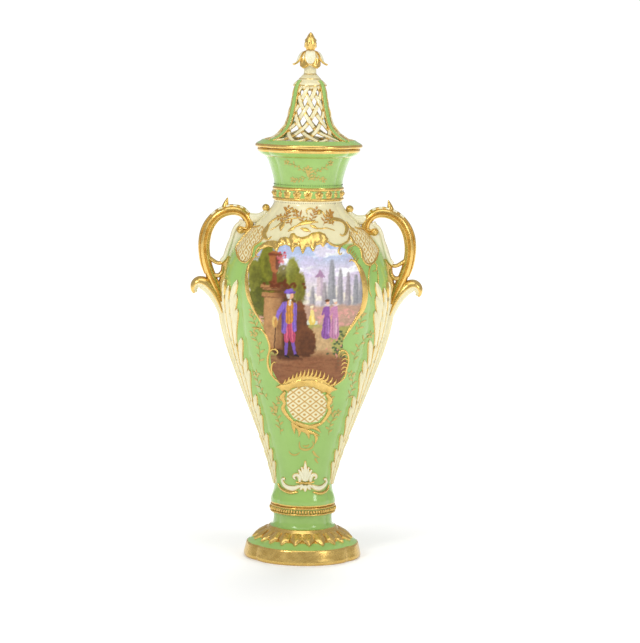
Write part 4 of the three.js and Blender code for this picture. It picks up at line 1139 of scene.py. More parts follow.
@dataclass
class Gilding:
    """Raised gold on the body: the shell over the picture, its frame, scrolls, foliage and sprays."""

    shell: tuple[Relief, ...] = (Relief(((-46.8, 322.6), (-45.1, 326.6), (-39.2, 330.3), (-33.7, 331.4),
        (-28.6, 330.6), (-27.4, 334), (-21.7, 335.2), (-17.8, 334.2), (-16.9, 338.6), (-13.1, 339.6),
        (-11.4, 337), (-6.5, 335.4), (0, 337), (4.3, 340), (11.9, 341), (17.4, 339), (20.6, 333.6)),
        ((-46.8, 321.4), (-39, 325), (-34.6, 324.6), (-31.4, 321.2), (-29.4, 321), (-28.1, 325.6),
        (-21.6, 328), (-17.2, 326.4), (-15.2, 320.6), (-13.6, 321.2), (-11.8, 326.2), (-7.4, 326.8),
        (-5, 319.6), (-3.2, 320.4), (-1.4, 326), (2.3, 327), (5.4, 321.8), (7, 322.6), (8.8, 327.6),
        (13.1, 329), (15.9, 325.8), (18, 329), (20.6, 333)), 2.4), Relief(((-28.4, 184.2), (-24, 187.4),
        (-19, 188.4), (-15, 190.2), (-4.1, 193.4), (6.8, 193.8), (17.8, 190.9), (22.4, 188), (27, 186.4),
        (31.8, 182.6)), ((-28.4, 183.4), (-25, 181.8), (-22.4, 178.2), (-20.2, 180.8), (-16.6, 178.6),
        (-12, 183), (-6, 184.2), (1, 185.4), (8.2, 184.4), (13.4, 181.8), (17.8, 178), (20.4, 179.4),
        (24, 175.6), (26.4, 178.8), (31.8, 181.6)), 2, (14, 160)))
    border: tuple[Stroke, ...] = strokes(
        ((-19.5, 179, -22.8, 172.5, -20.2, 166.8, -21.6, 160.5, -17.6, 153.6, -12.5, 148.2, -6, 144.6),
         (1.2, 2, 1.3, 1.8, 1.5, 1.1, 0.4), 1.2, 44),
        ((21.5, 177, 25.8, 170.5, 23.9, 164.6, 25.4, 158.5, 22, 151.8, 16, 144.8, 9, 142.2),
         (1.2, 2, 1.3, 1.8, 1.5, 1.1, 0.4), 1.2, 44),
        ((-9, 147, 0, 142.8, 6, 141.8, 15, 144.6), (1.6, 2, 2, 1.5), 1),
        ((-12.5, 146.5, -6, 140.5, 3, 137, 11, 134.5, 15.5, 132), (0.8, 1.5, 1.7, 1.3, 0.3), 0.8, 34),
        ((-12, 146, -10.4, 140, -9.6, 134), (1.2, 1.4, 0.2), 0.8),
        ((-7, 142, -4.6, 136.6, -5.4, 131), (1.1, 1.3, 0.2), 0.8),
        ((0, 139, 4, 134, 5.2, 128.6), (1.1, 1.4, 0.2), 0.8),
        ((6, 142, 12, 140, 17, 135.6), (1.2, 1.4, 0.2), 0.8),
        ((9.6, 135, 12.6, 129.6, 11, 123.4), (0.6, 1.2, 0.3), 0.7),
        ((43.5, 335.7, 47.1, 329.6, 54, 323.6, 56.4, 313.8, 61.3, 308, 67.5, 309.6, 71.4, 315.8,
         72.5, 324.7, 63, 337.4, 48, 343.6), (1.6, 1.3, 1.5, 1.2, 0.9, 0.8, 0.8, 0.7, 0.7, 0.5), 0.8, 70),
        ((-43.5, 335.7, -47.1, 329.6, -54, 323.6, -56.4, 313.8, -61.3, 308, -67.5, 309.6, -71.4, 315.8,
         -72.5, 324.7, -63, 337.4, -48, 343.6), (1.2, 0.9, 1, 0.9, 0.8, 0.8, 0.8, 0.7, 0.7, 0.5), 0.8, 70))
    frame: tuple[Stroke, ...] = strokes(
        ((-42.1, 327.1, -48, 324, -51.2, 319.1, -50.6, 314.9, -47.8, 315.2), (0.44, 0.98, 1.09, 0.88, 0.33),
         0.9),
        ((-46.6, 321.4, -49.8, 318.1, -52.8, 313.9, -56.2, 308.3, -58.1, 301.8),
         (0.33, 0.44, 0.55, 0.66, 0.44), 0.8),
        ((-53.9, 313.7, -58.2, 306.5, -60.1, 295.2, -59.4, 283.4, -56.9, 272.8, -52.3, 262.3, -46.2, 252.6,
         -43.3, 246.2), (0.44, 1.2, 1.86, 2.19, 2.19, 1.42, 0.88, 0.33), 0.9, 40),
        ((-53.9, 243.5, -48.6, 243.8, -43, 241.4, -38.6, 234.4, -36.1, 226.7, -36, 221, -37.5, 214,
         -37.2, 204.8, -34, 196.4, -28.4, 190.5, -23.7, 186.5),
         (0.33, 0.66, 0.77, 0.88, 0.88, 0.88, 0.98, 0.98, 0.88, 0.77, 0.44), 0.9, 60),
        ((-35.7, 219.9, -33.5, 222.6, -29.7, 222.9, -27.7, 220.3, -28.7, 218.2),
         (0.44, 0.77, 0.77, 0.66, 0.44), 0.9),
        ((-32.6, 193.6, -33.8, 201.1, -33.2, 206.9, -31.1, 209.7, -29.1, 208.8),
         (0.33, 0.77, 0.77, 0.66, 0.33), 0.9),
        ((36.3, 329.5, 33, 326.2, 31.3, 321.9, 32.9, 319.2, 34.6, 320.8), (0.33, 0.77, 0.88, 0.66, 0.33),
         0.9),
        ((48.8, 327.8, 42.9, 326.4, 40, 323, 40.9, 320.1, 42.7, 320.5), (0.33, 0.77, 0.98, 0.66, 0.33),
         0.9),
        ((42.3, 312.2, 44.7, 313.8, 48.8, 311.2), (0.44, 0.88, 1.09), 0.9),
        ((47.2, 312.8, 52.8, 305.2, 56.4, 296.4, 58.4, 286.6, 58.6, 275.6, 56.4, 264.8, 51.2, 255.8,
         45.9, 247.5, 41, 240.2, 37.4, 234), (0.66, 2.19, 2.84, 3.17, 3.17, 2.74, 1.97, 1.31, 0.88, 0.33),
         1, 50),
        ((19.1, 332.3, 24.6, 328.7, 30.6, 327.2, 36.3, 329.1, 40.7, 331.7, 42.6, 336.4, 42.4, 340.8),
         (0.66, 1.2, 1.09, 0.88, 0.88, 0.66, 0.33), 0.9),
        ((33.2, 218.3, 34.8, 221.9, 39, 222.3, 42.4, 218.2, 43.3, 210, 41.3, 201.1, 40.1, 194.5,
         35.6, 189.9, 29.3, 185.5), (0.33, 0.77, 0.77, 0.88, 0.88, 0.88, 0.77, 0.77, 0.44), 0.9, 50),
        ((-24.3, 183.7, -15, 189.6, -4.1, 193, 6.8, 193.2, 17.8, 190.1, 27.2, 184.4),
         (0.88, 1.97, 2.41, 2.41, 1.97, 0.88), 0.9),
        ((65.6, 275.7, 62.9, 282.8, 62.1, 293.7, 62.9, 303.1, 65.1, 308.1, 68.5, 308.9, 70.5, 305,
         69.4, 301.4, 66.5, 301.1), (0.22, 0.44, 0.55, 0.55, 0.55, 0.55, 0.44, 0.44, 0.33), 0.8, 40),
        ((71.3, 301.3, 72, 292.6, 71.5, 282.9, 69.5, 275.3), (0.22, 0.44, 0.44, 0.22), 0.8))
    shoulder: tuple[Stroke, ...] = strokes(
        ((-21.6, 354.4, -28.9, 353.1, -36.5, 348.6, -41.3, 342.1, -43.6, 335.8, -39.8, 332.1, -36, 334.8),
         (0.44, 0.77, 0.88, 1.2, 2.19, 1.09, 0.33), 0.9, 40),
        ((21.4, 350, 27.1, 352.3, 34.9, 350.1, 39.5, 344.6, 38.4, 339.1, 35.1, 336.8, 32.7, 338.3),
         (0.55, 1.42, 1.53, 1.64, 1.31, 0.77, 0.33), 0.9, 40),
        ((39.1, 348.8, 44.7, 342.2, 50.7, 337.7), (0.88, 1.42, 0.77), 0.9),
        ((-13.7, 344.4, -3, 349.2, 10.5, 349.9), (0.33, 1.64, 0.33), 0.6),
        ((-19.5, 340.6, -15.6, 343.1, -12, 345.9), (0.44, 1.2, 0.44), 0.6),
        ((-26.8, 341, -26.2, 344.8, -23, 348.8), (0.44, 1.64, 0.33), 0.6),
        ((-6.7, 344, -1.7, 342.6, 3.2, 341), (0.55, 1.53, 0.33), 0.6),
        ((2.2, 347.2, 6.4, 345.4, 10.2, 343.4), (0.33, 1.09, 0.33), 0.6),
        ((-21.3, 359.5, -16, 362.1, -12.5, 359.6, -11.5, 356.6), (0.22, 0.44, 0.44, 0.22), 0.5),
        ((-0.2, 356.6, -1.3, 361, 2.8, 362.8, 7.4, 360.8), (0.22, 0.44, 0.55, 0.22), 0.5),
        ((18.3, 354.3, 15.5, 358.5, 12.7, 361.4), (0.22, 0.44, 0.33), 0.5),
        ((6.4, 345, 12.9, 343.8, 19.5, 344.2, 27.2, 341.8), (0.22, 0.44, 0.33, 0.22), 0.5),
        ((-37.3, 340.7, -31.9, 343.9, -26.5, 348.2, -18.9, 351.7, -11.2, 353.2, -0.3, 354.3),
         (0.22, 0.44, 0.44, 0.44, 0.33, 0.33), 0.5),
        ((18.2, 359.5, 20.4, 357.3, 21.6, 355.8), (0.22, 0.44, 0.33), 0.5),
        ((10.3, 357, 11.9, 358.7, 13.6, 360.6), (0.33, 1.2, 0.33), 0.6))
    comb: int = 14
    sprays: tuple[tuple[float, float, float, float, int], ...] = ((-47, 205, 100, 34, 1),
        (-37, 168, 115, 30, 2), (-24, 132, 105, 28, 3), (49, 208, 60, 34, 4), (42, 168, 80, 30, 5),
        (25, 132, 70, 26, 6), (-45, 238, 112, 24, 8), (47, 238, 68, 24, 9), (-30, 152, 70, 22, 10),
        (31, 152, 104, 22, 14))
    foliage: tuple[tuple[float, float, float, float, int], ...] = ((-3, 347, 130, 15, 21),
        (4, 348, 70, 14, 22), (-16, 346, 150, 14, 23), (16, 347, 60, 13, 24), (-22, 350, 80, 12, 25),
        (26, 346.5, 110, 12, 26))
    painted: tuple[Stroke, ...] = strokes(
        ((-4.3, 125.6, -4.6, 122.2, -3, 118.1, 2.1, 116.9, 7.5, 118.6, 9.8, 122.3, 8.6, 126.1),
         (0.5, 0.9, 1.2, 1.4, 1, 0.8, 0.4), 0.2, 40),
        ((-15.1, 114.9, -13.5, 112.1, -9.9, 110.7, -6.4, 111.7, -4.1, 113.9), (0.4, 0.8, 0.9, 0.7, 0.4),
         0.2),
        ((9.1, 115.6, 11.6, 111.4, 13.9, 109.2, 16.3, 107.8), (1, 1.3, 1, 0.5), 0.2),
        ((11.6, 107.2, 13.3, 103.7, 14.9, 102), (1.2, 1, 0.5), 0.2),
        ((-1, 121.6, 2.6, 120.6, 5.4, 122.6), (0.4, 1, 0.4), 0.2))

    def build(self, finishes: Finishes) -> None:
        """Makes the raised gold of the front, and a plainer set behind."""
        shape = Shape("gilding_front")
        for stroke in (*self.frame, *self.border):
            stroke.wider(1.35).lay(shape, BODY)
        for stroke in self.shoulder:
            stroke.wider(1.7).lay(shape, BODY)
        for patch in self.shell:
            patch.lay(shape, BODY)
        self._comb(shape)
        shape.make(finishes.gold, smooth=70)
        behind = Shape("gilding_back")
        for stroke in (*self.frame[:-2], *self.border, *self.shoulder):
            stroke.wider(1.2).lay(behind, BODY, facing=BACK, sides=6)
        self.shell[0].lay(behind, BODY, BACK)
        behind.make(finishes.gold, smooth=70)
        thin = Shape("gilt_sprays")
        for facing in (FRONT, BACK):
            for x, z, lean, length, seed in self.sprays:
                self._spray(thin, BODY, facing, (x, z), lean, length, seed, 1.3)
            for stroke in self.painted:
                stroke.lay(thin, BODY, Paint.FADED.linear, 0, facing)
            for x, z, lean, length, seed in self.foliage:
                self._spray(thin, BODY, facing, (x, z), lean, length, seed, 1.25, Paint.OCHRE)
            for side in (-1, 1):
                self._spray(thin, NECK, facing, (side * 3, 399), 90 - side * 62, 22, 11, 0.9)
                self._spray(thin, NECK, facing, (side * 2, 394), 90 - side * 100, 14, 12, 0.9)
            self._spray(thin, NECK, facing, (0, 391), 90, 12, 13, 1.3)
        thin.make(finishes.enamel, smooth=80)

    def _comb(self, shape: Shape) -> None:
        """Curved teeth along the bottom of the picture and beside its lower right corner."""
        for share in np.linspace(0.03, 0.97, self.comb):
            x = -23 + 50 * share
            z = 184.5 + 10 * math.sin(math.pi * share)
            high = 6.5 + 3 * math.sin(math.pi * share)
            lean = 4.5 * (0.35 + share)
            tooth = Stroke(((x - 0.6, z), (x + lean * 0.7, z + high * 0.35), (x + lean, z + high)),
                           (1.15, 1.3, 0.3), 1, 14)
            tooth.lay(shape, BODY)
        small = [Stroke(((42.5, z), (39, z + 1.6), (36.2, z - 1.2)), (0.8, 0.8, 0.25), 0.8, 12) for z in
            (217, 212.5, 208, 203.5, 199)]
        small += [Stroke(((45.5 + k * 1.6, 324.5 - k * 2.3), (43.2 + k * 1.7, 321.8 - k * 2.4),
                          (43.6 + k * 1.8, 319.2 - k * 2.5)), (0.25, 0.55, 0.2), 0.6, 10) for k in range(5)]
        for tooth in small:
            tooth.lay(shape, BODY)

    def _spray(self, shape: Shape, wall: Wall, facing: float, root: Pair, lean: float, length: float,
               seed: int, size: float = 1, paint: Paint = Paint.FADED) -> None:
        """A sprig that leans so many degrees, 90 being up: a curving stem, leaves on alternate
        sides, and a flower of five petals at its end. The seed makes one unlike the next, and
        size scales its leaves."""
        rng = np.random.default_rng(seed)
        bend = rng.uniform(0.5, 1.1) * (1 if seed % 2 else -1)
        turn = math.radians(lean) + bend * (np.linspace(0, 1, 6) - 0.4)
        step = length / 5
        path = np.array(root) + np.concatenate([[[0, 0]], np.cumsum(
            step * np.stack([np.cos(turn), np.sin(turn)], 1)[:-1], 0)])
        strokes = [Stroke(path, (0.18, 0.26, 0.16), 0.16, 18)]
        for k, at in enumerate(spline(path, 9)[1:-1]):
            aim = turn[min(k * 5 // 8, 5)] + (0.9 if k % 2 else -0.9)
            tip = at + rng.uniform(3, 5.2) * size * np.array([math.cos(aim), math.sin(aim)])
            strokes.append(Stroke((at, at * 0.45 + tip * 0.55, tip), (0.16, 0.95 * size, 0.12), 0.18, 8))
        end = path[-1]
        for petal in range(5):
            aim = petal * 2 * math.pi / 5 + rng.uniform(0, 0.4)
            tip = end + 3.3 * size * np.array([math.cos(aim), math.sin(aim)])
            strokes.append(Stroke((end * 0.8 + tip * 0.2, end * 0.4 + tip * 0.6, tip),
                                  (0.3, 1.05 * size, 0.4), 0.18, 7))
        for stroke in strokes:
            stroke.lay(shape, wall, paint.linear, 0, facing, sides=5)


@dataclass
class Palmette:
    """The cream palmette low on the body, its gold edges, and the scroll arms under it."""

    petals: tuple[Stroke, ...] = strokes(
        ((1.1, 87, -0.7, 93.9, -2.1, 98.1), (1, 1.6, 0.6), 1.5),
        ((3, 87, 4.4, 94, 5.5, 98), (1, 1.6, 0.6), 1.5),
        ((0.7, 83.6, -2.3, 90.6, -4.8, 95.2), (1.4, 2.3, 0.8), 1.7),
        ((3.3, 83.6, 6, 90.6, 8.3, 94.8), (1.4, 2.3, 0.8), 1.7),
        ((2, 83, 1.8, 94, 1.7, 104.8), (1.6, 2.2, 0.3), 2),
        ((-3.6, 82.3, -3.5, 86.4, -6.1, 89.2, -9.2, 88.1, -9.3, 85.6, -7.6, 84.5),
         (1.2, 2, 1.9, 1.6, 1.2, 0.7), 1.7),
        ((7.4, 82.3, 7.4, 86.4, 10, 89.7, 12.6, 88.3, 12.6, 85.8, 10.8, 84.8), (1.2, 2, 1.9, 1.6, 1.2, 0.7),
         1.7),
        ((-0.4, 78.7, -2.8, 77.4, -5.1, 75.2), (1, 1.4, 0.6), 1.4),
        ((4.7, 78.7, 7.1, 77.4, 9.4, 75.5), (1, 1.4, 0.6), 1.4),
        ((0.4, 78.3, -1.2, 75.9, -3.1, 73.4), (1.2, 1.6, 0.7), 1.6),
        ((3.9, 78.3, 5.5, 75.9, 7.5, 73.5), (1.2, 1.6, 0.7), 1.6),
        ((2.1, 78.7, 2.1, 75.1, 2.2, 71.8), (1.6, 2, 0.8), 1.8))
    arms: tuple[Stroke, ...] = strokes(
        ((-4.3, 78.1, -8.2, 75, -13.7, 74.5, -18.9, 76.7, -21.1, 81.2, -20.2, 83.9, -18.4, 82.5),
         (0.8, 2.2, 2.5, 2.2, 1.8, 1.2, 0.9), 1.6, 40),
        ((8.2, 78.2, 12.2, 75.5, 16.9, 74.6, 21.2, 76.6, 23.3, 80.1, 22.3, 83.8, 20.7, 82.8),
         (0.8, 2.2, 2.5, 2.2, 1.8, 1.2, 0.9), 1.6, 40))
    gilded: tuple[Stroke, ...] = strokes(
        ((-7.1, 81.4, -2.8, 81, 2.1, 80.7, 7, 81.1, 10.9, 81.8), (0.9, 1.3, 1.5, 1.3, 0.9), 2.1),
        ((-25.5, 77, -23.4, 73.4, -18.4, 71, -12.1, 69.8, -5, 71.3), (0.7, 1.4, 1.6, 1.5, 0.8), 1.3),
        ((9.9, 71.1, 15.4, 69.4, 21, 69.6, 24.7, 71.9, 26, 76.4), (0.8, 1.5, 1.6, 1.4, 0.7), 1.3))

    def build(self, finishes: Finishes) -> None:
        """Makes the cream reliefs, each with a thin gold edge under it."""
        cream, gold = Shape("palmettes"), Shape("palmette_edges")
        for facing in (FRONT, BACK):
            for stroke in (*self.petals, *self.arms):
                stroke.lay(cream, BODY, IVORY, 0, facing)
                Stroke(stroke.path, tuple(w + 0.6 for w in stroke.widths), 0.6, stroke.steps).lay(
                    gold, BODY, facing=facing)
            for stroke in self.gilded:
                stroke.lay(gold, BODY, facing=facing)
        cream.make(finishes.enamel, smooth=70)
        gold.make(finishes.gold, smooth=70)


def medallion() -> NetPanel:
    """The cream medallion under the picture."""
    return NetPanel("medallion", ((-10.5, 150.7), (-16.4, 160.2), (-18.2, 169.6), (-17.2, 178.5)),
        ((13.5, 147.4), (20.6, 156), (22.3, 165.6), (19.8, 175.8)), ((-10.5, 150.7), (0.8, 146.6),
        (13.5, 147.4)), ((-17.2, 178.5), (-6, 184.4), (8.2, 184.6), (19.8, 175.8)), (11.6, 9.4), (72, 72))


def diaper() -> NetPanel:
    """The net panels on both sides of the picture's top."""
    return NetPanel("diaper_panels", ((61.3, 308.4), (56.4, 313.8), (54.8, 322.1), (47.1, 329.6),
        (43.5, 335.7)), ((71.1, 315.8), (72.3, 324.7), (63, 337), (44.9, 343.8)), ((61.3, 308.4),
        (67.5, 310.2), (71.1, 315.8)), ((43.5, 335.7), (43.6, 339.5), (44.9, 343.8)), (9.4, 10.4))


# --- handles


@dataclass
class Handle:
    """One scrolled handle: a moulded gold loop with a cream edge, struts, scrolls and the horn."""

    side: float
    name: str

    def _place(self, out: Array, level: Array, deep: Array) -> Array:
        """Points from how far out, how high and how far across the handle's plane they are."""
        c, s = math.cos(self.side), math.sin(self.side)
        return np.stack([out * s + deep * c, -out * c + deep * s, level + 0 * out], -1)

    def _sweep(self, shape: Shape, stations: list[tuple[float, ...]], steps: int, section: Array,
               paint: Array, gilt: Array | float = 1) -> None:
        """Adds a moulding along a smooth path of [out, level, half thickness, half depth]
        stations. The section's corners are shares of the last two, and turn to face out."""
        run = spline(stations, steps)
        along = unit(np.gradient(run[:, :2], axis=0))
        thick, deep = run[:, 2:3] * section[:, 0], run[:, 3:4] * section[:, 1]
        out = run[:, :1] + along[:, 1:] * thick
        level = run[:, 1:2] - along[:, :1] * thick
        points = self._place(out, level, deep)
        shape.tube(points, paint, gilt)

    @staticmethod
    def _moulding(count: int = 36) -> Array:
        """Section of the loop: a round cut by a groove along both faces, so that it reads as two
        cords side by side."""
        turn = turned_about(count)
        x, y = np.cos(turn), np.sin(turn)
        face = np.exp(-((x - 0.1) / 0.16) ** 2) * np.sign(y) * (np.abs(y) > 0.4)
        return np.stack([x, y - 0.34 * face], 1)

    def build(self, finishes: Finishes) -> None:
        """Makes the handle's pieces."""
        gold, cream = Shape(f"{self.name}_gold"), Shape(f"{self.name}_cream")
        turn = turned_about(24)
        section = np.stack([np.cos(turn), np.sin(turn)], 1)
        round_ = np.stack([np.cos(turned_about(16)), np.sin(turned_about(16))], 1)
        loop = [(68.2, 337.4, 3.4, 5.2), (61, 338.2, 4.2, 6), (59.7, 344.3, 4.6, 6.4),
            (62.5, 350.5, 4.8, 6.8), (67.6, 355.2, 5, 7), (74.8, 357.2, 5.2, 7), (83, 356.3, 5.3, 7),
            (91, 352.6, 5.4, 7), (97.6, 346, 5.5, 7), (102.4, 336.8, 5.5, 7), (104.9, 325.6, 5.5, 7),
            (105.1, 315.4, 5.4, 7), (103.3, 304.2, 5.3, 7), (100, 293.9, 5.2, 7), (95.6, 283.6, 5.1, 7),
            (91.3, 273.8, 4.6, 7), (87.9, 263.9, 3.8, 6.6), (84, 250, 2.6, 5.8)]
        self._sweep(gold, loop, 120, self._moulding(), GOLD)
        for stations, steps in (
                ([(81.5, 310.5, 2.6, 5), (87.3, 303.6, 2.2, 5), (92.7, 303.2, 2.1, 5),
                  (101, 308.6, 2.2, 5)], 24),
                ([(86, 300, 2.2, 4.8), (86.6, 294, 2.4, 5.2), (90.6, 290, 2.5, 5.3),
                  (96, 291, 2.4, 5.2), (100.4, 297, 2.2, 5)], 24),
                ([(42.5, 361, 3.4, 4.6), (42.2, 358.6, 3, 4.4), (43, 356, 2.4, 4.2)], 10),
                ([(84.6, 358.5, 4.6, 4.6), (83.8, 364.6, 2.6, 3), (82.2, 370.2, 0.5, 0.6)], 16)):
            self._sweep(gold, stations, steps, round_, GOLD)
        horn = [(86, 252, 4.8, 7.2), (90.5, 262.5, 5.4, 7.8), (96.6, 273, 6.4, 8.4), (103.4, 280.2, 7, 8.6),
            (109.8, 282.7, 6.4, 8.4), (114.2, 280.4, 5, 8), (115.4, 275.4, 3.8, 7.4),
            (114.2, 272.2, 2.6, 6.4)]
        under = eased((section[:, 0] + 0.05) / 0.3)
        self._sweep(cream, horn, 60, section, CREAM, 1 - under)
        knob = np.linspace(-0.5 * math.pi, 0.5 * math.pi, 13)[1:-1, None]
        for out, level, reach, deep in ((68.5, 337.4, 4.6, 7.4), (42.9, 360.4, 4, 5.6)):
            wide = reach * np.cos(knob)
            gold.tube(self._place(out + wide * np.cos(turn), level + wide * np.sin(turn),
                                  deep * np.sin(knob) * np.ones(24)), GOLD, 1)
        edge = [(59.2, 353.4, 1.2, 4), (65.8, 359.6, 1.4, 4.4), (74.8, 362, 1.5, 4.6),
            (84.8, 360.8, 1.5, 4.6), (95, 355.4, 1.5, 4.6), (103.2, 346.6, 1.5, 4.6),
            (108.2, 336.6, 1.5, 4.6), (110.3, 325.6, 1.5, 4.6), (110.2, 314.2, 1.4, 4.4),
            (108.2, 302, 1.3, 4), (104.6, 291.8, 0.9, 3.2)]
        row = np.arange(110)[:, None]
        dashes = np.clip(np.sin(row * 0.8) * 3, 0, 1) * (np.abs(round_[:, 1]) > 0.3)
        dashes = np.maximum(dashes, eased((row - 46) / 8))
        self._sweep(cream, edge, 110, round_, IVORY, dashes)
        scroll = [(60, 350, 5.2, 5.6), (54.3, 349.4, 5.2, 5.4), (48.4, 351.6, 3.8, 5),
            (43.6, 355.4, 3, 4.6), (42.2, 359, 2.9, 4.2)]
        flank = [(66, 345.6, 1.6, 4), (71.6, 342.4, 2.2, 5), (75.2, 336.4, 2.4, 5.4), (77.6, 328, 2.4, 5.6),
            (80.6, 318, 2.6, 5.8), (83.6, 309.6, 3, 5.8), (87.6, 304.6, 2.6, 5.2)]
        web = [(64, 346, 6, 3.6), (70, 333, 7, 3.8), (77, 320, 6, 3.8), (82, 306, 5, 3.8), (84, 290, 5, 4),
            (86, 276, 6, 4.2), (84, 262, 4, 4)]
        low = eased((312 - spline(web, 50)[:, 1:2]) / 3) + 0 * round_[:, 0]
        for stations, steps, gilt in ((scroll, 24, 0), (flank, 50, 0), (web, 50, low)):
            self._sweep(cream, stations, steps, round_, IVORY, gilt)
        node = Node.RIGHT if self.side == RIGHT else Node.LEFT
        gold.make(finishes.gold, node, smooth=60)
        cream.make(finishes.enamel, node, smooth=60)


# --- leafy flanks


@dataclass
class Flank:
    """The carved side of the body: a rib from the foot up to the horn, and feathered leaves."""

    side: float
    name: str
    tips: tuple[float, ...] = (290, 276, 261, 231, 210, 198, 172, 161, 151, 131, 115, 102)
    rows: tuple[tuple[float, float, float], ...] = ((32, 0, 1), (23, -7, 0.9), (14.5, -2, 0.8))

    def build(self, finishes: Finishes) -> None:
        """Makes the rib with its dotted line, and the leaves."""
        shape = Shape(f"{self.name}_leaves")
        for edge in (-1, 1):
            for reach, drop, size in reversed(self.rows):
                for tip in self.tips:
                    long = 18 + 0.17 * (tip - 78)
                    half = (2.3 + 0.0125 * (tip - 78)) * size
                    self._leaf(shape, edge, tip + drop, long * (0.8 + 0.4 * size), half, reach)
        self._rib(shape)
        shape.make(finishes.enamel, smooth=60)

    def _leaf(self, shape: Shape, edge: float, tip: float, length: float, half: float,
              reach: float) -> None:
        """One long feather, out from its root to its reach in degrees: widest near its round tip,
        domed across, standing off more towards the tip, its edges gilt."""
        run, u = np.linspace(0, 1, 22)[:, None], np.linspace(-1, 1, 9)[None]
        level = np.maximum(tip - length * (1 - run), BODY_FOOT - 2)
        turned = math.radians(reach) * (0.52 + 0.48 * run**1.2)
        width = half * np.interp(run, [0, 0.35, 0.8], [0.25, 0.75, 1]) + 0.05
        width = width * np.clip(1 - np.clip((run - 0.74) / 0.26, 0, 1) ** 2.1, 0, 1) ** 0.6 + 0.02
        angle = self.side + edge * turned + u * width / BODY.radius(level)
        groove = 1 - 0.85 * np.abs(u) ** 2.6 - 0.22 * np.exp(-((u / 0.12) ** 2))
        dome = (0.4 + 2.3 * run) * groove * np.clip((1 - run) * 9 + 0.35, 0, 1)
        over = 0.09 * (self.rows[0][0] - reach)
        face = BODY.at(angle, level, 0.2 + over + dome)
        back = BODY.at(angle, level, -1.4)
        gilt = np.clip((np.abs(u) - 0.74) / 0.06, 0, 1) * (run > 0.2)
        shape.slab(face, back, CREAM, gilt)

    def _rib(self, shape: Shape) -> None:
        """The rib: half an oval that stands off the body by what the solid's rib does."""
        level = np.linspace(80, 264, 120)[:, None]
        share = (level - BODY_FOOT) / (BODY_TOP - BODY_FOOT)
        proud = np.interp(share, [0, 0.11, 0.24, 0.37, 0.47, 0.56, 0.64],
                          [0.4, 1.8, 4.1, 6.2, 7.8, 8.6, 8.6])
        half = np.interp(share, [0, 0.11, 0.24, 0.37, 0.47, 0.6], [2.4, 3.5, 4.8, 6, 6.8, 7.4])
        u = np.linspace(-1, 1, 25)[None]
        lift = proud * np.sqrt(np.clip(1 - np.abs(u) ** 2.6, 0, 1)) - 0.3
        lift = lift - 0.7 * np.exp(-((np.abs(u) - 0.55) / 0.1) ** 2) * (proud > 2)
        angle = self.side + u * half / BODY.radius(level)
        face, back = BODY.at(angle, level, lift), BODY.at(angle, level, -1.5)
        gilt = np.exp(-((np.abs(u) - 0.55) / 0.05) ** 2) + 0 * level
        shape.slab(face, back, CREAM, gilt)


# --- cover


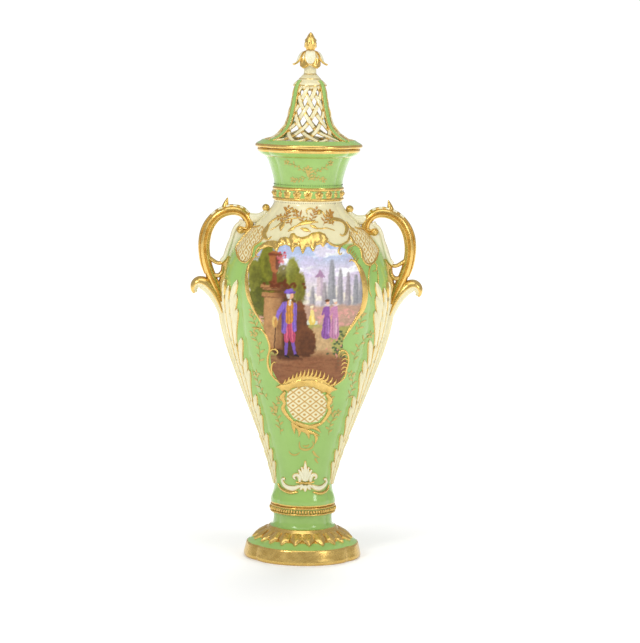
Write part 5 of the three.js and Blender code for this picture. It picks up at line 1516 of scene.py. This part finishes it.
@dataclass
class Cover:
    """The lifting cover: rim, four straps, woven trellis, cap, leaf collar and bud."""

    rise: float = 10
    start: float = 3
    rows: int = 7
    strip: float = 3.9
    thick: float = 3.2

    def __post_init__(self) -> None:
        """Measures the bell."""
        steps = np.linalg.norm(np.diff(BELL_LINE, axis=0), axis=1)
        self.run = np.r_[0, np.cumsum(steps)]

    def bell(self, distance: Array, angle: Array, lift: Array | float = 0) -> Array:
        """Points at a distance up the bell and an angle round it, lifted along its normal."""
        distance, angle, lift = np.broadcast_arrays(distance, angle, lift)
        radius = np.interp(distance, self.run, BELL_LINE[:, 0])
        level = np.interp(distance, self.run, BELL_LINE[:, 1])
        slope = np.gradient(BELL_LINE, self.run, axis=0)
        out = np.interp(distance, self.run, slope[:, 1])
        down = -np.interp(distance, self.run, slope[:, 0])
        return around(radius * plan(angle) + lift * out, angle, level + lift * down)

    def _cord(self, shape: Shape, distance: Array, angle: Array, half: Array | float, low: Array | float,
              high: Array | float, paint: Array, gilt: Array | float = 0) -> None:
        """Adds a strip with a soft square section along a path on the bell."""
        base = self.bell(distance, angle)
        out = unit(self.bell(distance, angle, 1) - base)
        aside = unit(np.cross(unit(np.gradient(base, axis=0)), out))
        turn = turned_about(16)
        square = np.stack([np.cos(turn), np.sin(turn)], 1)
        square = np.sign(square) * np.abs(square) ** 0.55
        half = np.broadcast_to(half, distance.shape)[:, None]
        middle, reach = (np.broadcast_to(v, distance.shape)[:, None] for v in (
            (np.asarray(low) + high) / 2, (np.asarray(high) - low) / 2))
        rings = (base[:, None] + aside[:, None] * (half * square[:, 0])[..., None]
                 + out[:, None] * (middle + reach * square[:, 1])[..., None])
        shape.tube(rings, paint, gilt)

    def build(self, finishes: Finishes) -> None:
        """Makes the cover's pieces."""
        self._rim().make(finishes.enamel, Node.COVER, smooth=40)
        self._trellis().make(finishes.enamel, Node.COVER, smooth=50)
        self._straps(finishes)
        self._cap().make(finishes.enamel, Node.COVER, smooth=45)
        self._leaf_collar().make(finishes.enamel, Node.COVER, smooth=60)
        self._bud().make(finishes.gold, Node.COVER, smooth=60)

    def _rim(self) -> Shape:
        """The spreading rim with the flange below it, and the start of the bell."""
        pairs, paint, gilt = joined([([(52.4, 423.05), (53.6, 423.1), (54.5, 423.7), (54.8, 424.7),
            (54.6, 425.8), (53.9, 426.7)], GREEN, 1), ([(53.2, 427.2), (52.4, 427.8), (51.2, 428.4),
            (50.2, 428.9), (49.4, 429.3), (48.6, 430), (47.6, 430.6), (46.6, 430.9)], GREEN, 0),
            ([(45.8, 430.9)], GREEN, 1), ([(43.6, 428.4), (40, 426.8), (36.4, 424), (34.8, 420),
            (34.6, 412.3), (37.4, 412.1), (37.6, 414), (38.2, 422.2), (38.8, 423.05)], WHITE, 0)])
        shape = Shape("cover_rim")
        shape.ring(pairs, turned_about(216), paint, gilt)
        return shape

    def _windows(self) -> list[tuple[float, float, int]]:
        """Middle, half width and number of columns of each window between two straps."""
        return [(quarter * math.pi / 2, CREASE if quarter % 2 == 0 else math.pi / 2 - CREASE,
                 3 if quarter % 2 == 0 else 2) for quarter in range(4)]

    def _trellis(self) -> Shape:
        """Strips that cross each window both ways, rising over and under each other in a wave."""
        shape = Shape("cover_trellis")
        top = self.start + self.rise * (self.rows - 0.35)
        for middle, half, columns in self._windows():
            for way in (-1, 1):
                for begin in range(-columns - 12, columns + 13, 2):
                    distance = np.linspace(1, top, 64)
                    column = begin + way * (distance - self.start) / self.rise
                    inside = np.abs(column) <= columns + 0.02
                    if inside.sum() < 6:
                        continue
                    d, c = distance[inside], column[inside]
                    radius = np.interp(d, self.run, BELL_LINE[:, 0])
                    angle = middle + c / columns * (half - 3.2 / radius)
                    wave = way * np.cos(math.pi * (d - self.start) / self.rise + math.pi * (begin % 4 == 0))
                    lift = -1 + 0.55 * wave
                    square = self.strip / 2 * np.ones_like(d)
                    edges = np.isin(np.arange(16), (1, 7)) * 1
                    # Gold edge lines, and gold all round wherever a strip passes under: gilt accents that
                    # are also painted shade beside the strip crossing over it.
                    gilt = np.maximum(edges, (wave < -0.5)[:, None] * 1)
                    self._cord(shape, d, angle, square, lift - 1.1, lift + 0.9, CREAM, gilt)
        return shape

    def _straps(self, finishes: Finishes) -> None:
        """Four green straps on the creases, each between two beaded gold cords."""
        shape, gold = Shape("cover_straps"), Shape("cover_strap_beads")
        reach = np.linspace(0, self.run[-1] * 0.975, 70)
        radius = np.interp(reach, self.run, BELL_LINE[:, 0])
        for crease in (CREASE, math.pi - CREASE, math.pi + CREASE, -CREASE):
            self._cord(shape, reach, np.full_like(reach, crease), 3, -2.6, 1.9, GREEN, 0)
            for edge in (-1, 1):
                fine = np.linspace(0, self.run[-1] * 0.975, 200)
                across = np.interp(fine, reach, radius)
                beat = 0.62 + 0.2 * np.abs(np.sin(math.pi * fine / 2.1))
                self._cord(gold, fine, crease + edge * 3.55 / across, beat, -0.6, 0.5 + beat,
                           GOLD, 1)
        shape.make(finishes.enamel, Node.COVER, smooth=50)
        gold.make(finishes.gold, Node.COVER, smooth=60)

    def _cap(self) -> Shape:
        """The cap with scalloped plates hanging over the windows, and the stem above it."""
        shape = Shape("cover_cap")
        angles = turned_about(160)
        pairs = np.array([(0.01, 480.5), (9, 480.6), (12, 482.6), (15.6, 484.6), (17.3, 485.6),
            (17.2, 486.8), (15.4, 488.8), (12.9, 490.9), (11.7, 491.9), (11.4, 492.6), (10.4, 493.6),
            (9.2, 494.9), (7.6, 496.6), (6.6, 497.6), (6.4, 498.4), (6.3, 501), (6.2, 505), (5.4, 514),
            (4.6, 520.6), (0.01, 520.6)])
        gilt = np.isin(np.arange(len(pairs)), (4, 9, 13)) * 1
        short = pairs.copy()
        short[1:7] = [(9, 486.4), (11.4, 488.2), (12.2, 489.2), (12.6, 489.8), (12.6, 490.2), (12.5, 490.6)]
        turned = np.mod(angles + CREASE, math.pi) - CREASE
        wide = turned <= CREASE
        away = np.where(wide, turned / CREASE, (turned - math.pi / 2) / (math.pi / 2 - CREASE))
        full = np.clip(1 - np.abs(away) ** 2, 0, 1)[:, None, None] ** 0.5
        at = pairs * full + short * (1 - full)
        points = around(at[..., 0], angles[:, None], at[..., 1]).transpose(1, 0, 2)
        shape.tube(points, CREAM, gilt[:, None])
        return shape

    def _leaf_collar(self) -> Shape:
        """Four long leaves with upturned tips that droop round the stem, and four gilt ones between."""
        shape = Shape("cover_leaf_collar")
        run, u = np.linspace(0, 1, 26)[:, None], np.linspace(-1, 1, 15)[None]
        for i in range(8):
            long, angle = i % 2 == 0, i * math.pi / 4
            line = spline([(4.6, 520.8), (8.4, 519.4), (11.2, 515.6), (12.6, 511.6), (14.2, 508.6),
                (17.4, 506.9)] if long else [(4, 520), (7, 518.4), (9.2, 514.4), (10.2, 509.8), (10.4, 506),
                (10.8, 503.8)], 26)
            width = (7.8 * np.interp(run, [0, 0.2, 0.45, 0.7, 0.88, 1], [0.5, 0.85, 1, 0.72, 0.34, 0.04]) if
                long else 9.2 * np.interp(run, [0, 0.2, 0.5, 0.75, 0.9, 1], [0.5, 0.86, 1, 0.84, 0.5, 0.1]))
            radius = line[:, :1] - 0.8 * u**2 * np.sin(math.pi * run)
            turn = angle + u * width / np.maximum(line[:, :1] + 1.5, 7)
            level = line[:, 1:] + 0.5 * u**2
            vein = 0.35 * np.cos(u * 6 * math.pi) * np.sin(math.pi * run)
            face = around(radius + 0.7 + vein, turn, level + 0.3)
            back = around(radius - 0.7, turn, level - 0.9)
            tip = eased((run - (0.8 if long else 0.4)) / 0.12)
            gilt = np.maximum(tip, np.clip((np.abs(u) - 0.8) / 0.1, 0, 1))
            shape.slab(face[::-1], back[::-1], IVORY, gilt[::-1])
        return shape

    def _bud(self) -> Shape:
        """The gold bud: rows of overlapping scales, each a bump of half a cosine round and along."""
        shape = Shape("cover_bud")
        level = np.linspace(519.5, 539.95, 80)[:, None]
        angles = turned_about(72)
        radius = np.interp(level, [519.5, 521, 522.3, 525.3, 528.3, 531.4, 534.4, 537.5, 539.2, 539.95],
            [4.2, 4.3, 5, 6.4, 7, 6.3, 4.6, 2.8, 1.2, 0.3])
        row = (level - 521) / 3.4
        phase = np.floor(row) % 2 * math.pi
        scale = np.clip(np.cos(6 * angles + phase), 0, 1) * (1 - row % 1)
        radius = radius * (0.88 + 0.16 * scale * (level > 521.5) * (level < 538.5))
        shape.tube(around(radius, angles, level), GOLD, 1)
        return shape


# --- studio


@dataclass(frozen=True)
class Studio:
    """Camera, floor and lights as for a catalogue picture."""

    lens: float = 148.2
    place: tuple[float, float, float] = (0, -2.7074, 0.5506)
    tilt: float = 6.461
    yaw: float = 0.306
    roll: float = 0.999

    def camera(self) -> None:
        """Puts the camera where the picture was taken from."""
        data = bpy.data.cameras.new("camera")
        data.lens, data.sensor_width, data.sensor_fit = self.lens, 36, "AUTO"
        data.clip_start, data.clip_end = 0.05, 60
        camera = bpy.data.objects.new("camera", data)
        camera.location = self.place
        tilt, yaw, roll = (math.radians(v) for v in (self.tilt, self.yaw, self.roll))
        ahead = np.array([math.sin(yaw) * math.cos(tilt), math.cos(yaw) * math.cos(tilt), -math.sin(tilt)])
        right = np.array([math.cos(yaw), -math.sin(yaw), 0])
        up = np.cross(right, ahead)
        axes = [math.cos(roll) * right + math.sin(roll) * up,
                -math.sin(roll) * right + math.cos(roll) * up, -ahead]
        camera.rotation_euler = Matrix(np.stack(axes, 1).tolist()).to_euler()
        bpy.context.scene.collection.objects.link(camera)
        bpy.context.scene.camera = camera

    def light(self, name: str, place: tuple[float, float, float], size: tuple[float, float], power: float,
              mirrored: bool = True) -> None:
        """One softbox that faces the vase, and whether glaze mirrors it."""
        data = bpy.data.lights.new(name, "AREA")
        data.shape, data.size, data.size_y, data.energy = "RECTANGLE", size[0], size[1], power
        lamp = bpy.data.objects.new(name, data)
        lamp.location = place
        lamp.visible_glossy = mirrored
        lamp.rotation_euler = (Vector((0, 0, 0.3)) - Vector(place)).to_track_quat("-Z", "Y").to_euler()
        bpy.context.scene.collection.objects.link(lamp)

    def build(self) -> None:
        """Makes the whole studio."""
        self.camera()
        mesh = bpy.data.meshes.new("floor")
        mesh.from_pydata([(-6, -6, 0), (6, -6, 0), (6, 8, 0), (-6, 8, 0)], [], [(0, 1, 2, 3)])
        floor = bpy.data.objects.new("floor", mesh)
        material, nodes, shader = started("studio_floor")
        nodes.put(shader["Base Color"], (0.9, 0.9, 0.9, 1))
        nodes.put(shader["Roughness"], 0.9)
        # Painted light: the floor glows, dimly beside the vase and brighter further off, so the far floor
        # comes out white while the vase's own shadow still shows round the foot.
        nodes.put(shader["Emission Color"], (1, 1, 1, 1))
        at = nodes.add("ShaderNodeTexCoord").outputs["Object"]
        away = nodes.add("ShaderNodeVectorMath", operation="LENGTH", Vector=at).outputs["Value"]
        nodes.put(shader["Emission Strength"], nodes.spread(away, 0.12, 0.9, 0.12, 0.7))
        mesh.materials.append(material)
        bpy.context.scene.collection.objects.link(floor)
        world = bpy.data.worlds.new("studio")
        world.use_nodes = True
        nodes = Nodes(world.node_tree)
        seen = nodes.add("ShaderNodeLightPath").outputs["Is Camera Ray"]
        background = world.node_tree.nodes["Background"]
        background.inputs["Color"].default_value = (1, 1, 1, 1)
        nodes.put(background.inputs["Strength"], nodes.spread(seen, 0, 1, 0.45, 1.05))
        bpy.context.scene.world = world
        self.light("key_softbox", (-1.3, -1.8, 1.7), (0.5, 0.8), 17)
        self.light("fill_softbox", (1.6, -1.5, 1.1), (0.45, 0.8), 8.5)
        self.light("top_softbox", (0, -0.7, 2.3), (1.5, 1.2), 11)
        self.light("back_softbox", (0.3, 1.9, 1.7), (1.6, 1), 30, False)
        bpy.context.scene.view_settings.view_transform = "Standard"


def main() -> None:
    """Builds the vase, piece by piece."""
    logging.basicConfig(level=logging.INFO, format="%(name)s: %(message)s")
    finishes = Finishes.made()
    Studio().build()
    BodyShell().build(finishes)
    Foot().build(finishes)
    NeckBand().build(finishes)
    Picture().build(finishes)
    Bouquet().build(finishes)
    medallion().build(finishes)
    diaper().build(finishes, (1, -1))
    Gilding().build(finishes)
    Palmette().build(finishes)
    for side, name in ((RIGHT, "right"), (LEFT, "left")):
        Handle(side, f"handle_{name}").build(finishes)
        Flank(side, f"flank_{name}").build(finishes)
    Cover().build(finishes)


if __name__ == "__main__":
    main()
